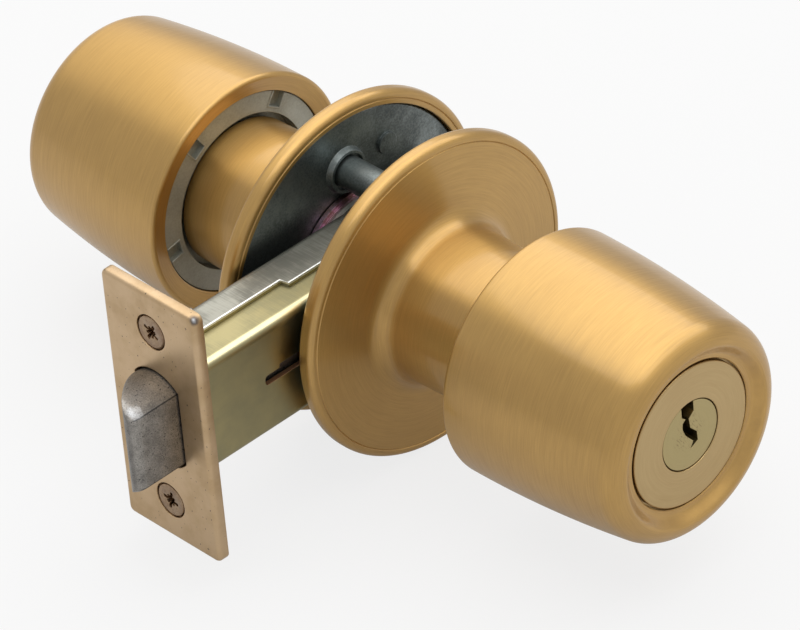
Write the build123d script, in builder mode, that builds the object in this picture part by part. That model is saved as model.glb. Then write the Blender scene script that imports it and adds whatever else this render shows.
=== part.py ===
from build123d import *
from math import cos, radians, sin
import os

# Keyed tubular knob lock with a 60 mm tubular latch, in millimetres.
# The spindle runs along Y through the origin, the keyed outside knob is at -Y,
# the latch reaches towards -X and +Z is up. "Side" is -1 outside and +1 inside.
os.makedirs("parts", exist_ok=True)

# Driving dimensions: roses, necks and mounting plates
rose_r = 33.5
rose_land_y = 9.4            # face of a rose that meets the door, from mid-door
rose_depth = 3.5
rose_crown = 1.4
rose_rim_width = 2.9
rose_sheet = 1.0
rose_flare_r = 4.0
rose_rim_round = 1.6
rose_bead_round = 1.7
neck_r = 16.2
neck_in_knob = 2.2
plate_recess = 0.9
plate_t = 1.45
bearing_wall = 2.44
bearing_end_y = 36.0
pillar_r = 3.3
pillar_z = 19.05
pillar_socket_depth = 0.8
pillar_socket_gap = 0.6
boss_r = 4.9
boss_h = 1.2
pillar_boss_taper = 30
socket_boss_taper = 20
cast_edge_r = 0.4
cast_fillet_r = 0.8
ejector_boss_r = 2.3
ejector_boss_x = 11.1
ejector_boss_z = 19.4
fixing_screw_r = 1.9
fixing_head_r = 3.6
fixing_screw_l = 13.0

# Driving dimensions: knobs
knob_r = 25.3
knob_front_r = 22.6
knob_back_y = 39.3
knob_length = 42.0
knob_sheet = 1.2
knob_front_round = 4.2
knob_crest_r = 17.9
knob_face_r = 15.3
knob_face_depth = 2.1
knob_lip_r = 1.6
knob_lip_width = 4.1
knob_lip_t = 0.6
knob_inner_step = 0.8
insert_recess = 1.4
insert_ring_width = 4.4
insert_web_y = 44.0
insert_web_t = 3.0
notch_width = 3.1
notch_length = 3.3
notch_depth = 1.2
notch_turns = (57.0, 124.5, 192.0, 264.0, 336.0)
shank_r = 12.5
clip_r = 13.9
clip_t = 1.0
clip_step = 0.7
clip_step_h = 0.5
clip_bite = 0.8

# Driving dimensions: spindle and key cylinder
spindle_size = 7.0
spindle_end_y = 30.0
spindle_bore_r = 2.3
spindle_setback = 0.5
face_disc_t = 1.5
face_flange_r = 17.6
face_flange_t = 1.8
barrel_r = 9.6
tower_width = 6.8
tower_z = 15.5
tower_root = 2.0
tower_end = 1.5
tower_cap = 0.6
plug_r = 6.45
plug_head_r = 7.36
plug_head_t = 2.1
plug_inset = 0.3
plug_tail_wall = 1.9
plug_tail_inset = 0.8
plug_groove = 0.9
keyway = (
    (-1.9, 8.4),
    (1.3, 8.4),
    (1.3, 4.9),
    (-0.2, 3.9),
    (-0.1, 1.3),
    (1.55, -0.3),
    (1.75, -2.2),
    (-0.1, -3.05),
    (0.8, -1.7),
    (-1.2, 0.7),
    (-1.75, 2.4),
    (-1.65, 3.6),
    (-0.95, 4.1),
    (-1.9, 4.9),
)
keyway_past_pins = 2.0
pin_count = 5
pin_pitch = 4.2
pin_r = 1.4
first_pin_from_face = 7.5
driver_pin_l = 4.0
pin_spring_wall = 0.45
key_pin_lengths = (4.6, 5.8, 4.2, 5.2, 3.8)
tail_width = 3.6
tail_t = 1.2
tail_in_plug = 4.0
tail_in_button = 2.5
plug_clip_t = 0.9

# Driving dimensions: turn button of the inside knob
button_r = 6.0
button_seat = 2.0
button_grip_h = 5.5
button_grip_w = 3.6
button_stem_r = 3.6
button_stand = 0.6
button_grip_taper = 4
button_edge_r = 0.7
button_groove = 0.6
button_clip_r = 6.5
clip_mouth = 4.0

# Driving dimensions: latch
backset = 60.0
face_h = 57.2
face_w = 25.4
face_t = 2.5
face_edge_r = 0.9
face_corner_r = 1.4
face_screw_z = 19.75
face_screw_r = 1.9
face_screw_head_r = 3.7
face_screw_l = 9.0
face_screw_tip = 1.0
cross_l = 3.9
cross_w = 0.9
cross_depth = 1.1
case_sheet = 1.1
case_w = 14.7
case_h = 26.5
case_rear_x = 21.5
case_bend_r = 1.9
case_flange_edge_y = 0.2
case_jog = 1.9
case_jog_x = -27.3
case_jog_run = 0.4
near_flange_reach = 12.2
guide_slot_x = -39.8
guide_slot_step_x = -36.0
guide_slot_end_x = -27.0
guide_slot_z = 0.2
guide_slot_h = 2.2
guide_slot_step = 0.9
guide_slot_round = 0.8
rivet_r = 1.2
rivet_head_r = 2.0
rivet_head_t = 0.7
rivet_xs = (-2.0, 15.0)
rivet_y = 2.6
rivet_taper = 20
bolt_w = 11.2
bolt_rise = 2.5
bolt_rear_x = -30.0
bolt_nose_w = 2.6
bolt_edge_r = 0.9
bevel_bow = 0.5
hub_turn = 75.0
hub_bearing_r = 7.5
hub_body_r = 6.2
lobe_tip_r = 1.2
lobe_w = 4.8
lobe_root_r = 3.4
lobe_gap = 0.35
bolt_tail_t = 1.2
bolt_tail_y = 3.2
bolt_tail_bridge = 3.0
tail_window_round = 2.0
tail_in_bolt = 11.0
tail_pin_r = 1.3
seat_x = -12.6
seat_h = 9.0
seat_reach = 8.85
spring_r = 3.0
spring_wire_r = 0.4
spring_turns = 9
spring_y = -0.9
spring_bore_depth = 16.0

# Clearances
running = 0.06
fit = 0.2
flat_gap = 0.1
snug = 0.02
side_gap = 0.3
end_gap = 0.05
edge_round = 0.3
bolt_case_gap = 0.45
tail_case_gap = 0.55
lobe_case_gap = 0.45

# Derived sizes
rose_face_y = rose_land_y + rose_depth
neck_end_y = knob_back_y + neck_in_knob
plate_y = rose_land_y + plate_recess
plate_back_y = plate_y + plate_t
plate_r = rose_r - rose_rim_width - fit
bearing_r = shank_r + running
shank_end_y = case_w / 2 + side_gap
knob_front_y = knob_back_y + knob_length
lip_in_r = knob_r - knob_lip_width
face_y = knob_front_y - knob_face_depth
face_under_y = face_y - face_disc_t
insert_back_y = knob_back_y + insert_recess
insert_r = lip_in_r - fit
insert_front_y = insert_web_y + insert_web_t
clip_y = plate_y - fit
face_disc_r = knob_face_r - fit
barrel_end_y = insert_front_y + fit
plug_end_y = barrel_end_y + side_gap
plug_clip_y = barrel_end_y + plug_tail_inset
first_pin_y = face_y - first_pin_from_face
keyway_l = first_pin_from_face + (pin_count - 1) * pin_pitch + keyway_past_pins
shear_z = plug_r + running
key_pin_top = plug_r - fit
plate_back_x = -backset + face_t
case_in_h = case_h - 4 * case_sheet
bolt_side_h = case_in_h - 2 * (bolt_case_gap + bolt_rise)
bolt_tail_h = case_in_h - 2 * tail_case_gap
tail_pin_z = bolt_side_h / 3
lobe_r = case_in_h / 2 - lobe_tip_r - lobe_case_gap
hub_flange_r = lobe_r - 2 * fit
bolt_throw = 2 * lobe_r * sin(radians(hub_turn / 2))
bolt_nose_x = -backset - bolt_throw
lobe_x = lobe_r * sin(radians(hub_turn / 2))
case_half = case_w / 2
far_z = case_h / 2
near_z = far_z - case_sheet
tab_x = -lobe_x + lobe_tip_r + lobe_gap
window_h = 2 * (hub_body_r + side_gap)
tail_pin_spots = [(bolt_rear_x - tail_in_bolt / 2, z) for z in (tail_pin_z, -tail_pin_z)]
rivet_spots = [(x, rivet_y) for x in rivet_xs]


def save(builder, name):
    """Label a finished piece and write it to its own file."""
    builder.part.label = name
    export_step(builder.part, f"parts/{name}.step")


# Roses: spun caps with a rolled rim and a neck, one on each side of the door
def rose(side):
    rim_in = rose_r - rose_rim_width
    neck_in = neck_r - rose_sheet
    with BuildPart() as cap:
        with BuildSketch(Plane.XY):
            with BuildLine():
                FilletPolyline(
                    (rim_in, side * rose_land_y),
                    (rose_r, side * rose_land_y),
                    (rose_r, side * rose_face_y),
                    (neck_r, side * (rose_face_y + rose_crown)),
                    (neck_r, side * neck_end_y),
                    (neck_in, side * neck_end_y),
                    (neck_in, side * (rose_face_y + rose_crown - rose_sheet)),
                    (rim_in, side * (rose_face_y - rose_sheet)),
                    radius=(
                        edge_round,
                        rose_rim_round,
                        rose_bead_round,
                        rose_flare_r,
                        edge_round,
                        edge_round,
                        rose_flare_r + rose_sheet,
                        edge_round,
                    ),
                    close=True,
                )
            make_face()
        revolve(axis=Axis.Y)
    return cap


outside_rose = rose(-1)
save(outside_rose, "outside_rose")
inside_rose = rose(1)
save(inside_rose, "inside_rose")


# Mounting plates: die-cast discs with a long bearing for the knob's shank
def plate_outline(side):
    return (
        (bearing_r, side * plate_y),
        (plate_r, side * plate_y),
        (plate_r, side * plate_back_y),
        (bearing_r + bearing_wall, side * plate_back_y),
        (bearing_r + bearing_wall, side * bearing_end_y),
        (bearing_r, side * bearing_end_y),
    )


plate_rounds = (0, cast_edge_r, cast_edge_r, cast_fillet_r, edge_round, 0)
pillar_end_y = plate_y - boss_h + pillar_socket_depth - end_gap
pillar_spots = [(0, pillar_z), (0, -pillar_z)]

with BuildPart() as outside_mount_plate:
    with BuildSketch(Plane.XY):
        with BuildLine():
            FilletPolyline(*plate_outline(-1), radius=plate_rounds, close=True)
        make_face()
    revolve(axis=Axis.Y)
    # Pillars grow towards the inside plate, each with a root flare and a screw hole
    with BuildSketch(Plane.XZ.offset(plate_y)):
        with Locations(*pillar_spots):
            Circle(pillar_r)
    extrude(amount=-(plate_y + pillar_end_y))
    with BuildSketch(Plane.XZ.offset(plate_y)):
        with Locations(*pillar_spots):
            Circle(boss_r)
    extrude(amount=-boss_h, taper=pillar_boss_taper)
    with BuildSketch(Plane.XZ.offset(-pillar_end_y)):
        with Locations(*pillar_spots):
            Circle(fixing_screw_r + snug)
    extrude(amount=fixing_screw_l, mode=Mode.SUBTRACT)
save(outside_mount_plate, "outside_mount_plate")

with BuildPart() as inside_mount_plate:
    with BuildSketch(Plane.XY):
        with BuildLine():
            FilletPolyline(*plate_outline(1), radius=plate_rounds, close=True)
        make_face()
    revolve(axis=Axis.Y)
    # Sockets for the pillars, and two flat ejector bosses
    with BuildSketch(Plane.XZ.offset(-plate_y)):
        with Locations(*pillar_spots):
            Circle(boss_r)
    extrude(amount=boss_h, taper=socket_boss_taper)
    with BuildSketch(Plane.XZ.offset(-plate_y)):
        with Locations((ejector_boss_x, ejector_boss_z), (-ejector_boss_x, -ejector_boss_z)):
            Circle(ejector_boss_r)
    extrude(amount=boss_h / 2)
    with BuildSketch(Plane.XZ.offset(-(plate_y - boss_h))):
        with Locations(*pillar_spots):
            Circle(pillar_r + pillar_socket_gap)
    extrude(amount=-pillar_socket_depth, mode=Mode.SUBTRACT)
    with Locations(Plane.XZ.offset(-plate_back_y)):
        with Locations(*[(x, z, 0) for x, z in pillar_spots]):
            with Locations(Rotation(180, 0, 0)):
                CounterSinkHole(
                    radius=fixing_screw_r + fit,
                    counter_sink_radius=fixing_head_r + snug,
                    counter_sink_angle=90,
                )
save(inside_mount_plate, "inside_mount_plate")

# Fixing screws: two countersunk screws from the inside plate into the pillars
with BuildPart() as fixing_screws:
    for x, z in pillar_spots:
        with BuildSketch(Plane.XY.offset(z)):
            with BuildLine():
                Polyline(
                    (0, plate_back_y - snug),
                    (fixing_head_r, plate_back_y - snug),
                    (fixing_screw_r, plate_back_y - snug - fixing_head_r + fixing_screw_r),
                    (fixing_screw_r, plate_back_y - fixing_screw_l + side_gap),
                    (0, plate_back_y - fixing_screw_l + side_gap),
                    close=True,
                )
            make_face()
        revolve(axis=Axis((0, 0, z), (0, 1, 0)))
save(fixing_screws, "fixing_screws")


# Knob shells: spun barrels, rolled over at the back and open at the front face
def knob_shell(side):
    with BuildPart() as shell:
        with BuildSketch(Plane.XY if side > 0 else Plane.XY.rotated((180, 0, 0))):
            with BuildLine():
                lip_y = knob_back_y + knob_lip_r
                front_start = (knob_front_r, knob_front_y - knob_front_round)
                barrel = TangentArc((knob_r, lip_y), front_start, tangent=(0, 1))
                crown = TangentArc(barrel @ 1, (knob_crest_r, knob_front_y), tangent=barrel % 1)
                dish = TangentArc(crown @ 1, (knob_face_r, face_y), tangent=(-1, 0))
                inner_front = (knob_front_r - knob_sheet, knob_front_y - knob_front_round - knob_inner_step)
                inner_back = (knob_r - knob_sheet, lip_y + knob_lip_t)
                Polyline(dish @ 1, (knob_face_r, face_under_y), (knob_crest_r, face_under_y), inner_front)
                TangentArc(inner_back, inner_front, tangent=(0, 1))
                Polyline(inner_back, (lip_in_r, lip_y + knob_lip_t), (lip_in_r, lip_y))
                TangentArc((lip_in_r, lip_y), (lip_in_r + knob_lip_r, knob_back_y), tangent=(0, -1))
                Line((lip_in_r + knob_lip_r, knob_back_y), (knob_r - knob_lip_r, knob_back_y))
                TangentArc((knob_r, lip_y), (knob_r - knob_lip_r, knob_back_y), tangent=(0, -1))
            make_face()
        revolve(axis=Axis.Y)
    return shell


outside_knob_shell = knob_shell(-1)
save(outside_knob_shell, "outside_knob_shell")
inside_knob_shell = knob_shell(1)
save(inside_knob_shell, "inside_knob_shell")


# Knob inserts: notched ring, web and hollow shank cast in one piece
def knob_insert(side, square):
    ring_in = insert_r - insert_ring_width
    flange_r = knob_r - knob_sheet - side_gap
    flange_y = knob_back_y + knob_lip_r + knob_lip_t + flat_gap
    with BuildPart() as insert:
        with BuildSketch(Plane.XY):
            with BuildLine():
                Polyline(
                    (0, side * shank_end_y),
                    (shank_r, side * shank_end_y),
                    (shank_r, side * insert_web_y),
                    (ring_in, side * insert_web_y),
                    (ring_in, side * insert_back_y),
                    (insert_r, side * insert_back_y),
                    (insert_r, side * flange_y),
                    (flange_r, side * flange_y),
                    (flange_r, side * insert_front_y),
                    (0, side * insert_front_y),
                    close=True,
                )
            make_face()
        revolve(axis=Axis.Y)
        # Clip groove at the door end of the shank
        with BuildSketch(Plane.XZ.offset(-side * (clip_y + end_gap))):
            Circle(clip_r)
            Circle(shank_r - clip_bite - flat_gap, mode=Mode.SUBTRACT)
        extrude(amount=side * (clip_t + 2 * end_gap), mode=Mode.SUBTRACT)
        # Square socket for the spindle, right through
        with BuildSketch(Plane.XZ):
            Rectangle(square, square)
        extrude(amount=-side * insert_front_y, mode=Mode.SUBTRACT)
        # Notches round the back of the ring
        with BuildSketch(Plane.XZ.offset(-side * insert_back_y)):
            for turn in notch_turns:
                with PolarLocations(insert_r - notch_length / 2 + flat_gap, 1, turn):
                    Rectangle(notch_length, notch_width)
        extrude(amount=-side * notch_depth, mode=Mode.SUBTRACT)
    return insert


outside_knob_insert = knob_insert(-1, spindle_size + 2 * snug)
save(outside_knob_insert, "outside_knob_insert")
inside_knob_insert = knob_insert(1, spindle_size + fit)
save(inside_knob_insert, "inside_knob_insert")


# Knob clips: stepped collars snapped into the shanks, on the door side of the plates
def knob_clip(side):
    with BuildPart() as clip:
        with BuildSketch(Plane.XY):
            with BuildLine():
                Polyline(
                    (shank_r - clip_bite, side * clip_y),
                    (clip_r, side * clip_y),
                    (clip_r, side * (clip_y - clip_t)),
                    (clip_r - clip_step, side * (clip_y - clip_t)),
                    (clip_r - clip_step, side * (clip_y - clip_t - clip_step_h)),
                    (shank_r + flat_gap, side * (clip_y - clip_t - clip_step_h)),
                    (shank_r + flat_gap, side * (clip_y - clip_t)),
                    (shank_r - clip_bite, side * (clip_y - clip_t)),
                    close=True,
                )
            make_face()
        revolve(axis=Axis.Y)
    return clip


outside_knob_clip = knob_clip(-1)
save(outside_knob_clip, "outside_knob_clip")
inside_knob_clip = knob_clip(1)
save(inside_knob_clip, "inside_knob_clip")

# Spindle: hollow square bar from the outside knob to the inside knob
with BuildPart() as spindle:
    with BuildSketch(Plane.XZ.offset(insert_front_y - spindle_setback)):
        Rectangle(spindle_size, spindle_size)
        Circle(spindle_bore_r, mode=Mode.SUBTRACT)
    extrude(amount=-(insert_front_y - spindle_setback + spindle_end_y))
save(spindle, "spindle")


# Face discs close the knobs' front openings: the key cylinder's face and the inside end plate
def face_disc_outline(side, bore_r):
    return (
        (bore_r, side * face_y),
        (face_disc_r, side * face_y),
        (face_disc_r, side * (face_under_y - flat_gap)),
        (face_flange_r, side * (face_under_y - flat_gap)),
        (face_flange_r, side * (face_under_y - face_flange_t)),
    )


pin_ys = [-first_pin_y + k * pin_pitch for k in range(pin_count)]

with BuildPart() as cylinder_body:
    with BuildSketch(Plane.XY):
        with BuildLine():
            Polyline(
                *face_disc_outline(-1, plug_head_r + running),
                (barrel_r, -(face_under_y - face_flange_t)),
                (barrel_r, -barrel_end_y),
                (plug_r + plug_tail_wall, -barrel_end_y),
                (plug_r + plug_tail_wall, -(plug_clip_y + plug_clip_t + side_gap)),
                (plug_r + running, -(plug_clip_y + plug_clip_t + side_gap)),
                (plug_r + running, -(face_y - plug_inset - plug_head_t - flat_gap)),
                (plug_head_r + running, -(face_y - plug_inset - plug_head_t - flat_gap)),
                close=True,
            )
        make_face()
    revolve(axis=Axis.Y)
    # Pin tower above the barrel
    with BuildSketch(Plane.XZ.offset(face_under_y - face_flange_t)):
        with Locations((0, (tower_z + plug_r + tower_root) / 2)):
            Rectangle(tower_width, tower_z - plug_r - tower_root)
    extrude(amount=-(pin_count * pin_pitch + tower_end))
    with BuildSketch(Plane.XY):
        with Locations(*[(0, y) for y in pin_ys]):
            Circle(pin_r + running)
    extrude(amount=tower_z - tower_cap, mode=Mode.SUBTRACT)
save(cylinder_body, "cylinder_body")

with BuildPart() as driver_pins:
    with BuildSketch(Plane.XY.offset(shear_z + end_gap)):
        with Locations(*[(0, y) for y in pin_ys]):
            Circle(pin_r)
    extrude(amount=driver_pin_l)
save(driver_pins, "driver_pins")

with BuildPart() as pin_springs:
    with BuildSketch(Plane.XY.offset(shear_z + end_gap + driver_pin_l)):
        with Locations(*[(0, y) for y in pin_ys]):
            Circle(pin_r - flat_gap)
            Circle(pin_r - flat_gap - pin_spring_wall, mode=Mode.SUBTRACT)
    extrude(amount=tower_z - tower_cap - shear_z - end_gap - driver_pin_l - snug)
save(pin_springs, "pin_springs")

# Key plug: turned barrel with a warded keyway, pin holes and a slot for the tailpiece
with BuildPart() as cylinder_plug:
    with BuildSketch(Plane.XY):
        with BuildLine():
            Polyline(
                (0, -(face_y - plug_inset)),
                (plug_head_r, -(face_y - plug_inset)),
                (plug_head_r, -(face_y - plug_inset - plug_head_t)),
                (plug_r, -(face_y - plug_inset - plug_head_t)),
                (plug_r, -(plug_clip_y + plug_clip_t + flat_gap)),
                (plug_r - plug_groove, -(plug_clip_y + plug_clip_t + flat_gap)),
                (plug_r - plug_groove, -(plug_clip_y - flat_gap)),
                (plug_r, -(plug_clip_y - flat_gap)),
                (plug_r, -plug_end_y),
                (0, -plug_end_y),
                close=True,
            )
        make_face()
    revolve(axis=Axis.Y)
    with BuildSketch(Plane.XZ.offset(face_y)):
        with BuildLine():
            Polyline(*keyway, close=True)
        make_face()
    extrude(amount=-keyway_l, mode=Mode.SUBTRACT)
    with BuildSketch(Plane.XY):
        with Locations(*[(0, y) for y in pin_ys]):
            Circle(pin_r + running)
    extrude(amount=plug_head_r, mode=Mode.SUBTRACT)
    with BuildSketch(Plane.XZ.offset(plug_end_y)):
        Rectangle(tail_width + 2 * snug, tail_t + 2 * snug)
    extrude(amount=tail_in_plug, mode=Mode.SUBTRACT)
save(cylinder_plug, "cylinder_plug")

with BuildPart() as key_pins:
    for y, length in zip(pin_ys, key_pin_lengths):
        with BuildSketch(Plane.XY.offset(key_pin_top)):
            with Locations((0, y)):
                Circle(pin_r)
        extrude(amount=-length)
save(key_pins, "key_pins")

with BuildPart() as plug_clip:
    with BuildSketch(Plane.XZ.offset(plug_clip_y)):
        Circle(plug_r + plug_tail_wall - fit)
        Circle(plug_r - plug_groove + flat_gap, mode=Mode.SUBTRACT)
        with Locations((0, -plug_r)):
            Rectangle(plug_r, 2 * plug_r - clip_mouth, mode=Mode.SUBTRACT)
    extrude(amount=plug_clip_t)
save(plug_clip, "plug_clip")

stem_end_y = insert_front_y + 2 * fit
tail_end_y = stem_end_y + tail_in_button
with BuildPart() as tailpiece:
    with BuildSketch(Plane.XZ.offset(plug_end_y + tail_in_plug - fit)):
        Rectangle(tail_width, tail_t)
    extrude(amount=-(plug_end_y + tail_in_plug - fit + tail_end_y))
save(tailpiece, "tailpiece")

# Inside end plate and turn button
plate_under_y = face_under_y - face_flange_t
with BuildPart() as inside_end_plate:
    with BuildSketch(Plane.XY):
        with BuildLine():
            Polyline(
                *face_disc_outline(1, button_r + running),
                (button_stem_r + running, plate_under_y),
                (button_stem_r + running, face_y - button_seat),
                (button_r + running, face_y - button_seat),
                close=True,
            )
        make_face()
    revolve(axis=Axis.Y)
save(inside_end_plate, "inside_end_plate")

clip_groove_y = plate_under_y - fit - clip_t
with BuildPart() as turn_button:
    with BuildSketch(Plane.XY):
        with BuildLine():
            Polyline(
                (spindle_bore_r, stem_end_y),
                (button_stem_r, stem_end_y),
                (button_stem_r, clip_groove_y - flat_gap),
                (button_stem_r - button_groove, clip_groove_y - flat_gap),
                (button_stem_r - button_groove, clip_groove_y + clip_t + flat_gap),
                (button_stem_r, clip_groove_y + clip_t + flat_gap),
                (button_stem_r, face_y - button_seat + flat_gap),
                (button_r, face_y - button_seat + flat_gap),
                (button_r, face_y + button_stand),
                (0, face_y + button_stand),
                (0, tail_end_y + side_gap),
                (spindle_bore_r, tail_end_y + side_gap),
                close=True,
            )
        make_face()
    revolve(axis=Axis.Y)
    with BuildSketch(Plane.XZ.offset(-(face_y + button_stand))):
        SlotOverall(2 * (button_r - fit), button_grip_w)
    extrude(amount=-button_grip_h, taper=button_grip_taper)
    fillet(turn_button.faces().sort_by(Axis.Y)[-1].edges(), button_edge_r)
save(turn_button, "turn_button")

with BuildPart() as button_clip:
    with BuildSketch(Plane.XZ.offset(-clip_groove_y)):
        Circle(button_clip_r)
        Circle(button_stem_r - button_groove + flat_gap, mode=Mode.SUBTRACT)
        with Locations((0, -button_clip_r)):
            Rectangle(button_clip_r - fit, 2 * button_clip_r - clip_mouth, mode=Mode.SUBTRACT)
    extrude(amount=-clip_t)
save(button_clip, "button_clip")

# Latch case: two folded channels, the far one lapping over the near one
bend_in_r = case_bend_r - case_sheet
channel_rounds = (0, case_bend_r, case_bend_r, 0, 0, bend_in_r, bend_in_r, 0)

with BuildPart() as case_near_half:
    with BuildSketch(Plane.YZ.offset(plate_back_x)):
        with BuildLine():
            edge_y = -case_half + near_flange_reach
            web_y = -case_half + case_sheet
            FilletPolyline(
                (edge_y, near_z),
                (-case_half, near_z),
                (-case_half, -near_z),
                (edge_y, -near_z),
                (edge_y, -near_z + case_sheet),
                (web_y, -near_z + case_sheet),
                (web_y, near_z - case_sheet),
                (edge_y, near_z - case_sheet),
                radius=channel_rounds,
                close=True,
            )
        make_face()
    extrude(amount=case_rear_x - plate_back_x)
    # Stepped guide slot and hub hole in the web
    with BuildSketch(Plane.XZ.offset(case_half)):
        slot_low = guide_slot_z - guide_slot_h / 2
        slot_top = guide_slot_z + guide_slot_h / 2
        with BuildLine():
            FilletPolyline(
                (guide_slot_x, slot_low),
                (guide_slot_end_x, slot_low),
                (guide_slot_end_x, slot_top + guide_slot_step),
                (guide_slot_step_x, slot_top + guide_slot_step),
                (guide_slot_step_x, slot_top),
                (guide_slot_x, slot_top),
                radius=(
                    guide_slot_round,
                    guide_slot_round,
                    guide_slot_round,
                    edge_round,
                    edge_round,
                    guide_slot_round,
                ),
                close=True,
            )
        make_face()
        Circle(hub_bearing_r + running)
        # Window left by the lanced spring seat
        with Locations((seat_x - seat_reach / 2, 0)):
            Rectangle(seat_reach, seat_h)
    extrude(amount=-case_sheet, mode=Mode.SUBTRACT)
    with BuildSketch(Plane.XZ.offset(case_half)):
        with Locations((seat_x + case_sheet / 2, 0)):
            Rectangle(case_sheet, seat_h)
    extrude(amount=-seat_reach)
    with BuildSketch(Plane.XY.offset(-far_z)):
        with Locations(*rivet_spots):
            Circle(rivet_r + snug)
    extrude(amount=case_h, mode=Mode.SUBTRACT)
save(case_near_half, "case_near_half")

with BuildPart() as case_far_half:
    with BuildSketch(Plane.YZ.offset(plate_back_x)):
        with BuildLine():
            edge_y = case_flange_edge_y - case_jog
            web_y = case_half - case_sheet + end_gap
            lap_z = near_z + end_gap
            FilletPolyline(
                (edge_y, far_z),
                (case_half, far_z),
                (case_half, -far_z),
                (edge_y, -far_z),
                (edge_y, -lap_z),
                (web_y, -lap_z),
                (web_y, lap_z),
                (edge_y, lap_z),
                radius=channel_rounds,
                close=True,
            )
        make_face()
    extrude(amount=case_rear_x - plate_back_x)
    # The lapping flanges are narrower towards the face plate
    with BuildSketch(Plane.XY.offset(-far_z)):
        with BuildLine():
            Polyline(
                (plate_back_x, edge_y),
                (case_jog_x + case_jog_run, edge_y),
                (case_jog_x, case_flange_edge_y),
                (plate_back_x, case_flange_edge_y),
                close=True,
            )
        make_face()
    extrude(amount=case_h, mode=Mode.SUBTRACT)
    with BuildSketch(Plane.XZ.offset(-case_half)):
        Circle(hub_bearing_r + running)
    extrude(amount=2 * case_sheet, mode=Mode.SUBTRACT)
    with BuildSketch(Plane.XY.offset(-far_z)):
        with Locations(*rivet_spots):
            Circle(rivet_r + snug)
    extrude(amount=case_h, mode=Mode.SUBTRACT)
save(case_far_half, "case_far_half")

with BuildPart() as case_rivets:
    for end in (1, -1):
        with BuildSketch(Plane.XY.offset(end * far_z)):
            with Locations(*rivet_spots):
                Circle(rivet_head_r)
        extrude(amount=end * rivet_head_t, taper=rivet_taper)
        with BuildSketch(Plane.XY.offset(end * far_z)):
            with Locations(*rivet_spots):
                Circle(rivet_r)
        extrude(amount=-end * 2 * case_sheet)
save(case_rivets, "case_rivets")

# Face plate with the arched bolt opening and two countersunk holes

def bolt_outline(gap):
    half_w = bolt_w / 2 + gap
    half_h = bolt_side_h / 2 + gap / 2
    crown = half_h + bolt_rise + gap / 2
    return half_w, half_h, crown


with BuildPart() as face_plate:
    with BuildSketch(Plane.YZ.offset(-backset)):
        RectangleRounded(face_w, face_h, face_corner_r)
    extrude(amount=face_t)
    fillet(face_plate.faces().sort_by(Axis.X)[0].edges(), face_edge_r)
    with BuildSketch(Plane.YZ.offset(-backset)):
        with BuildLine():
            half_w, half_h, crown = bolt_outline(fit)
            ThreePointArc((-half_w, half_h), (0, crown), (half_w, half_h))
            Line((half_w, half_h), (half_w, -half_h))
            ThreePointArc((half_w, -half_h), (0, -crown), (-half_w, -half_h))
            Line((-half_w, -half_h), (-half_w, half_h))
        make_face()
    extrude(amount=face_t, mode=Mode.SUBTRACT)
    with Locations(Plane.YZ.offset(-backset)):
        with Locations((0, face_screw_z, 0), (0, -face_screw_z, 0)):
            with Locations(Rotation(180, 0, 0)):
                CounterSinkHole(
                    radius=face_screw_r + fit,
                    counter_sink_radius=face_screw_head_r + flat_gap,
                    counter_sink_angle=90,
                )
save(face_plate, "face_plate")

head_x = -backset + end_gap
screw_neck_r = face_screw_r + flat_gap
screw_neck_x = plate_back_x + side_gap
with BuildPart() as face_plate_screws:
    for z in (face_screw_z, -face_screw_z):
        with BuildSketch(Plane.XZ):
            with BuildLine():
                Polyline(
                    (head_x, z),
                    (head_x, z + face_screw_head_r),
                    (head_x + face_screw_head_r - screw_neck_r, z + screw_neck_r),
                    (screw_neck_x, z + screw_neck_r),
                    (screw_neck_x, z + face_screw_r),
                    (head_x + face_screw_l - face_screw_tip, z + face_screw_r),
                    (head_x + face_screw_l, z + face_screw_r - face_screw_tip),
                    (head_x + face_screw_l, z),
                    close=True,
                )
            make_face()
        revolve(axis=Axis((0, 0, z), (1, 0, 0)))
        # Cross recess
        with BuildSketch(Plane.YZ.offset(head_x)):
            with Locations((0, z)):
                Rectangle(cross_l, cross_w)
                Rectangle(cross_w, cross_l)
        extrude(amount=cross_depth, mode=Mode.SUBTRACT)
save(face_plate_screws, "face_plate_screws")

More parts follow.
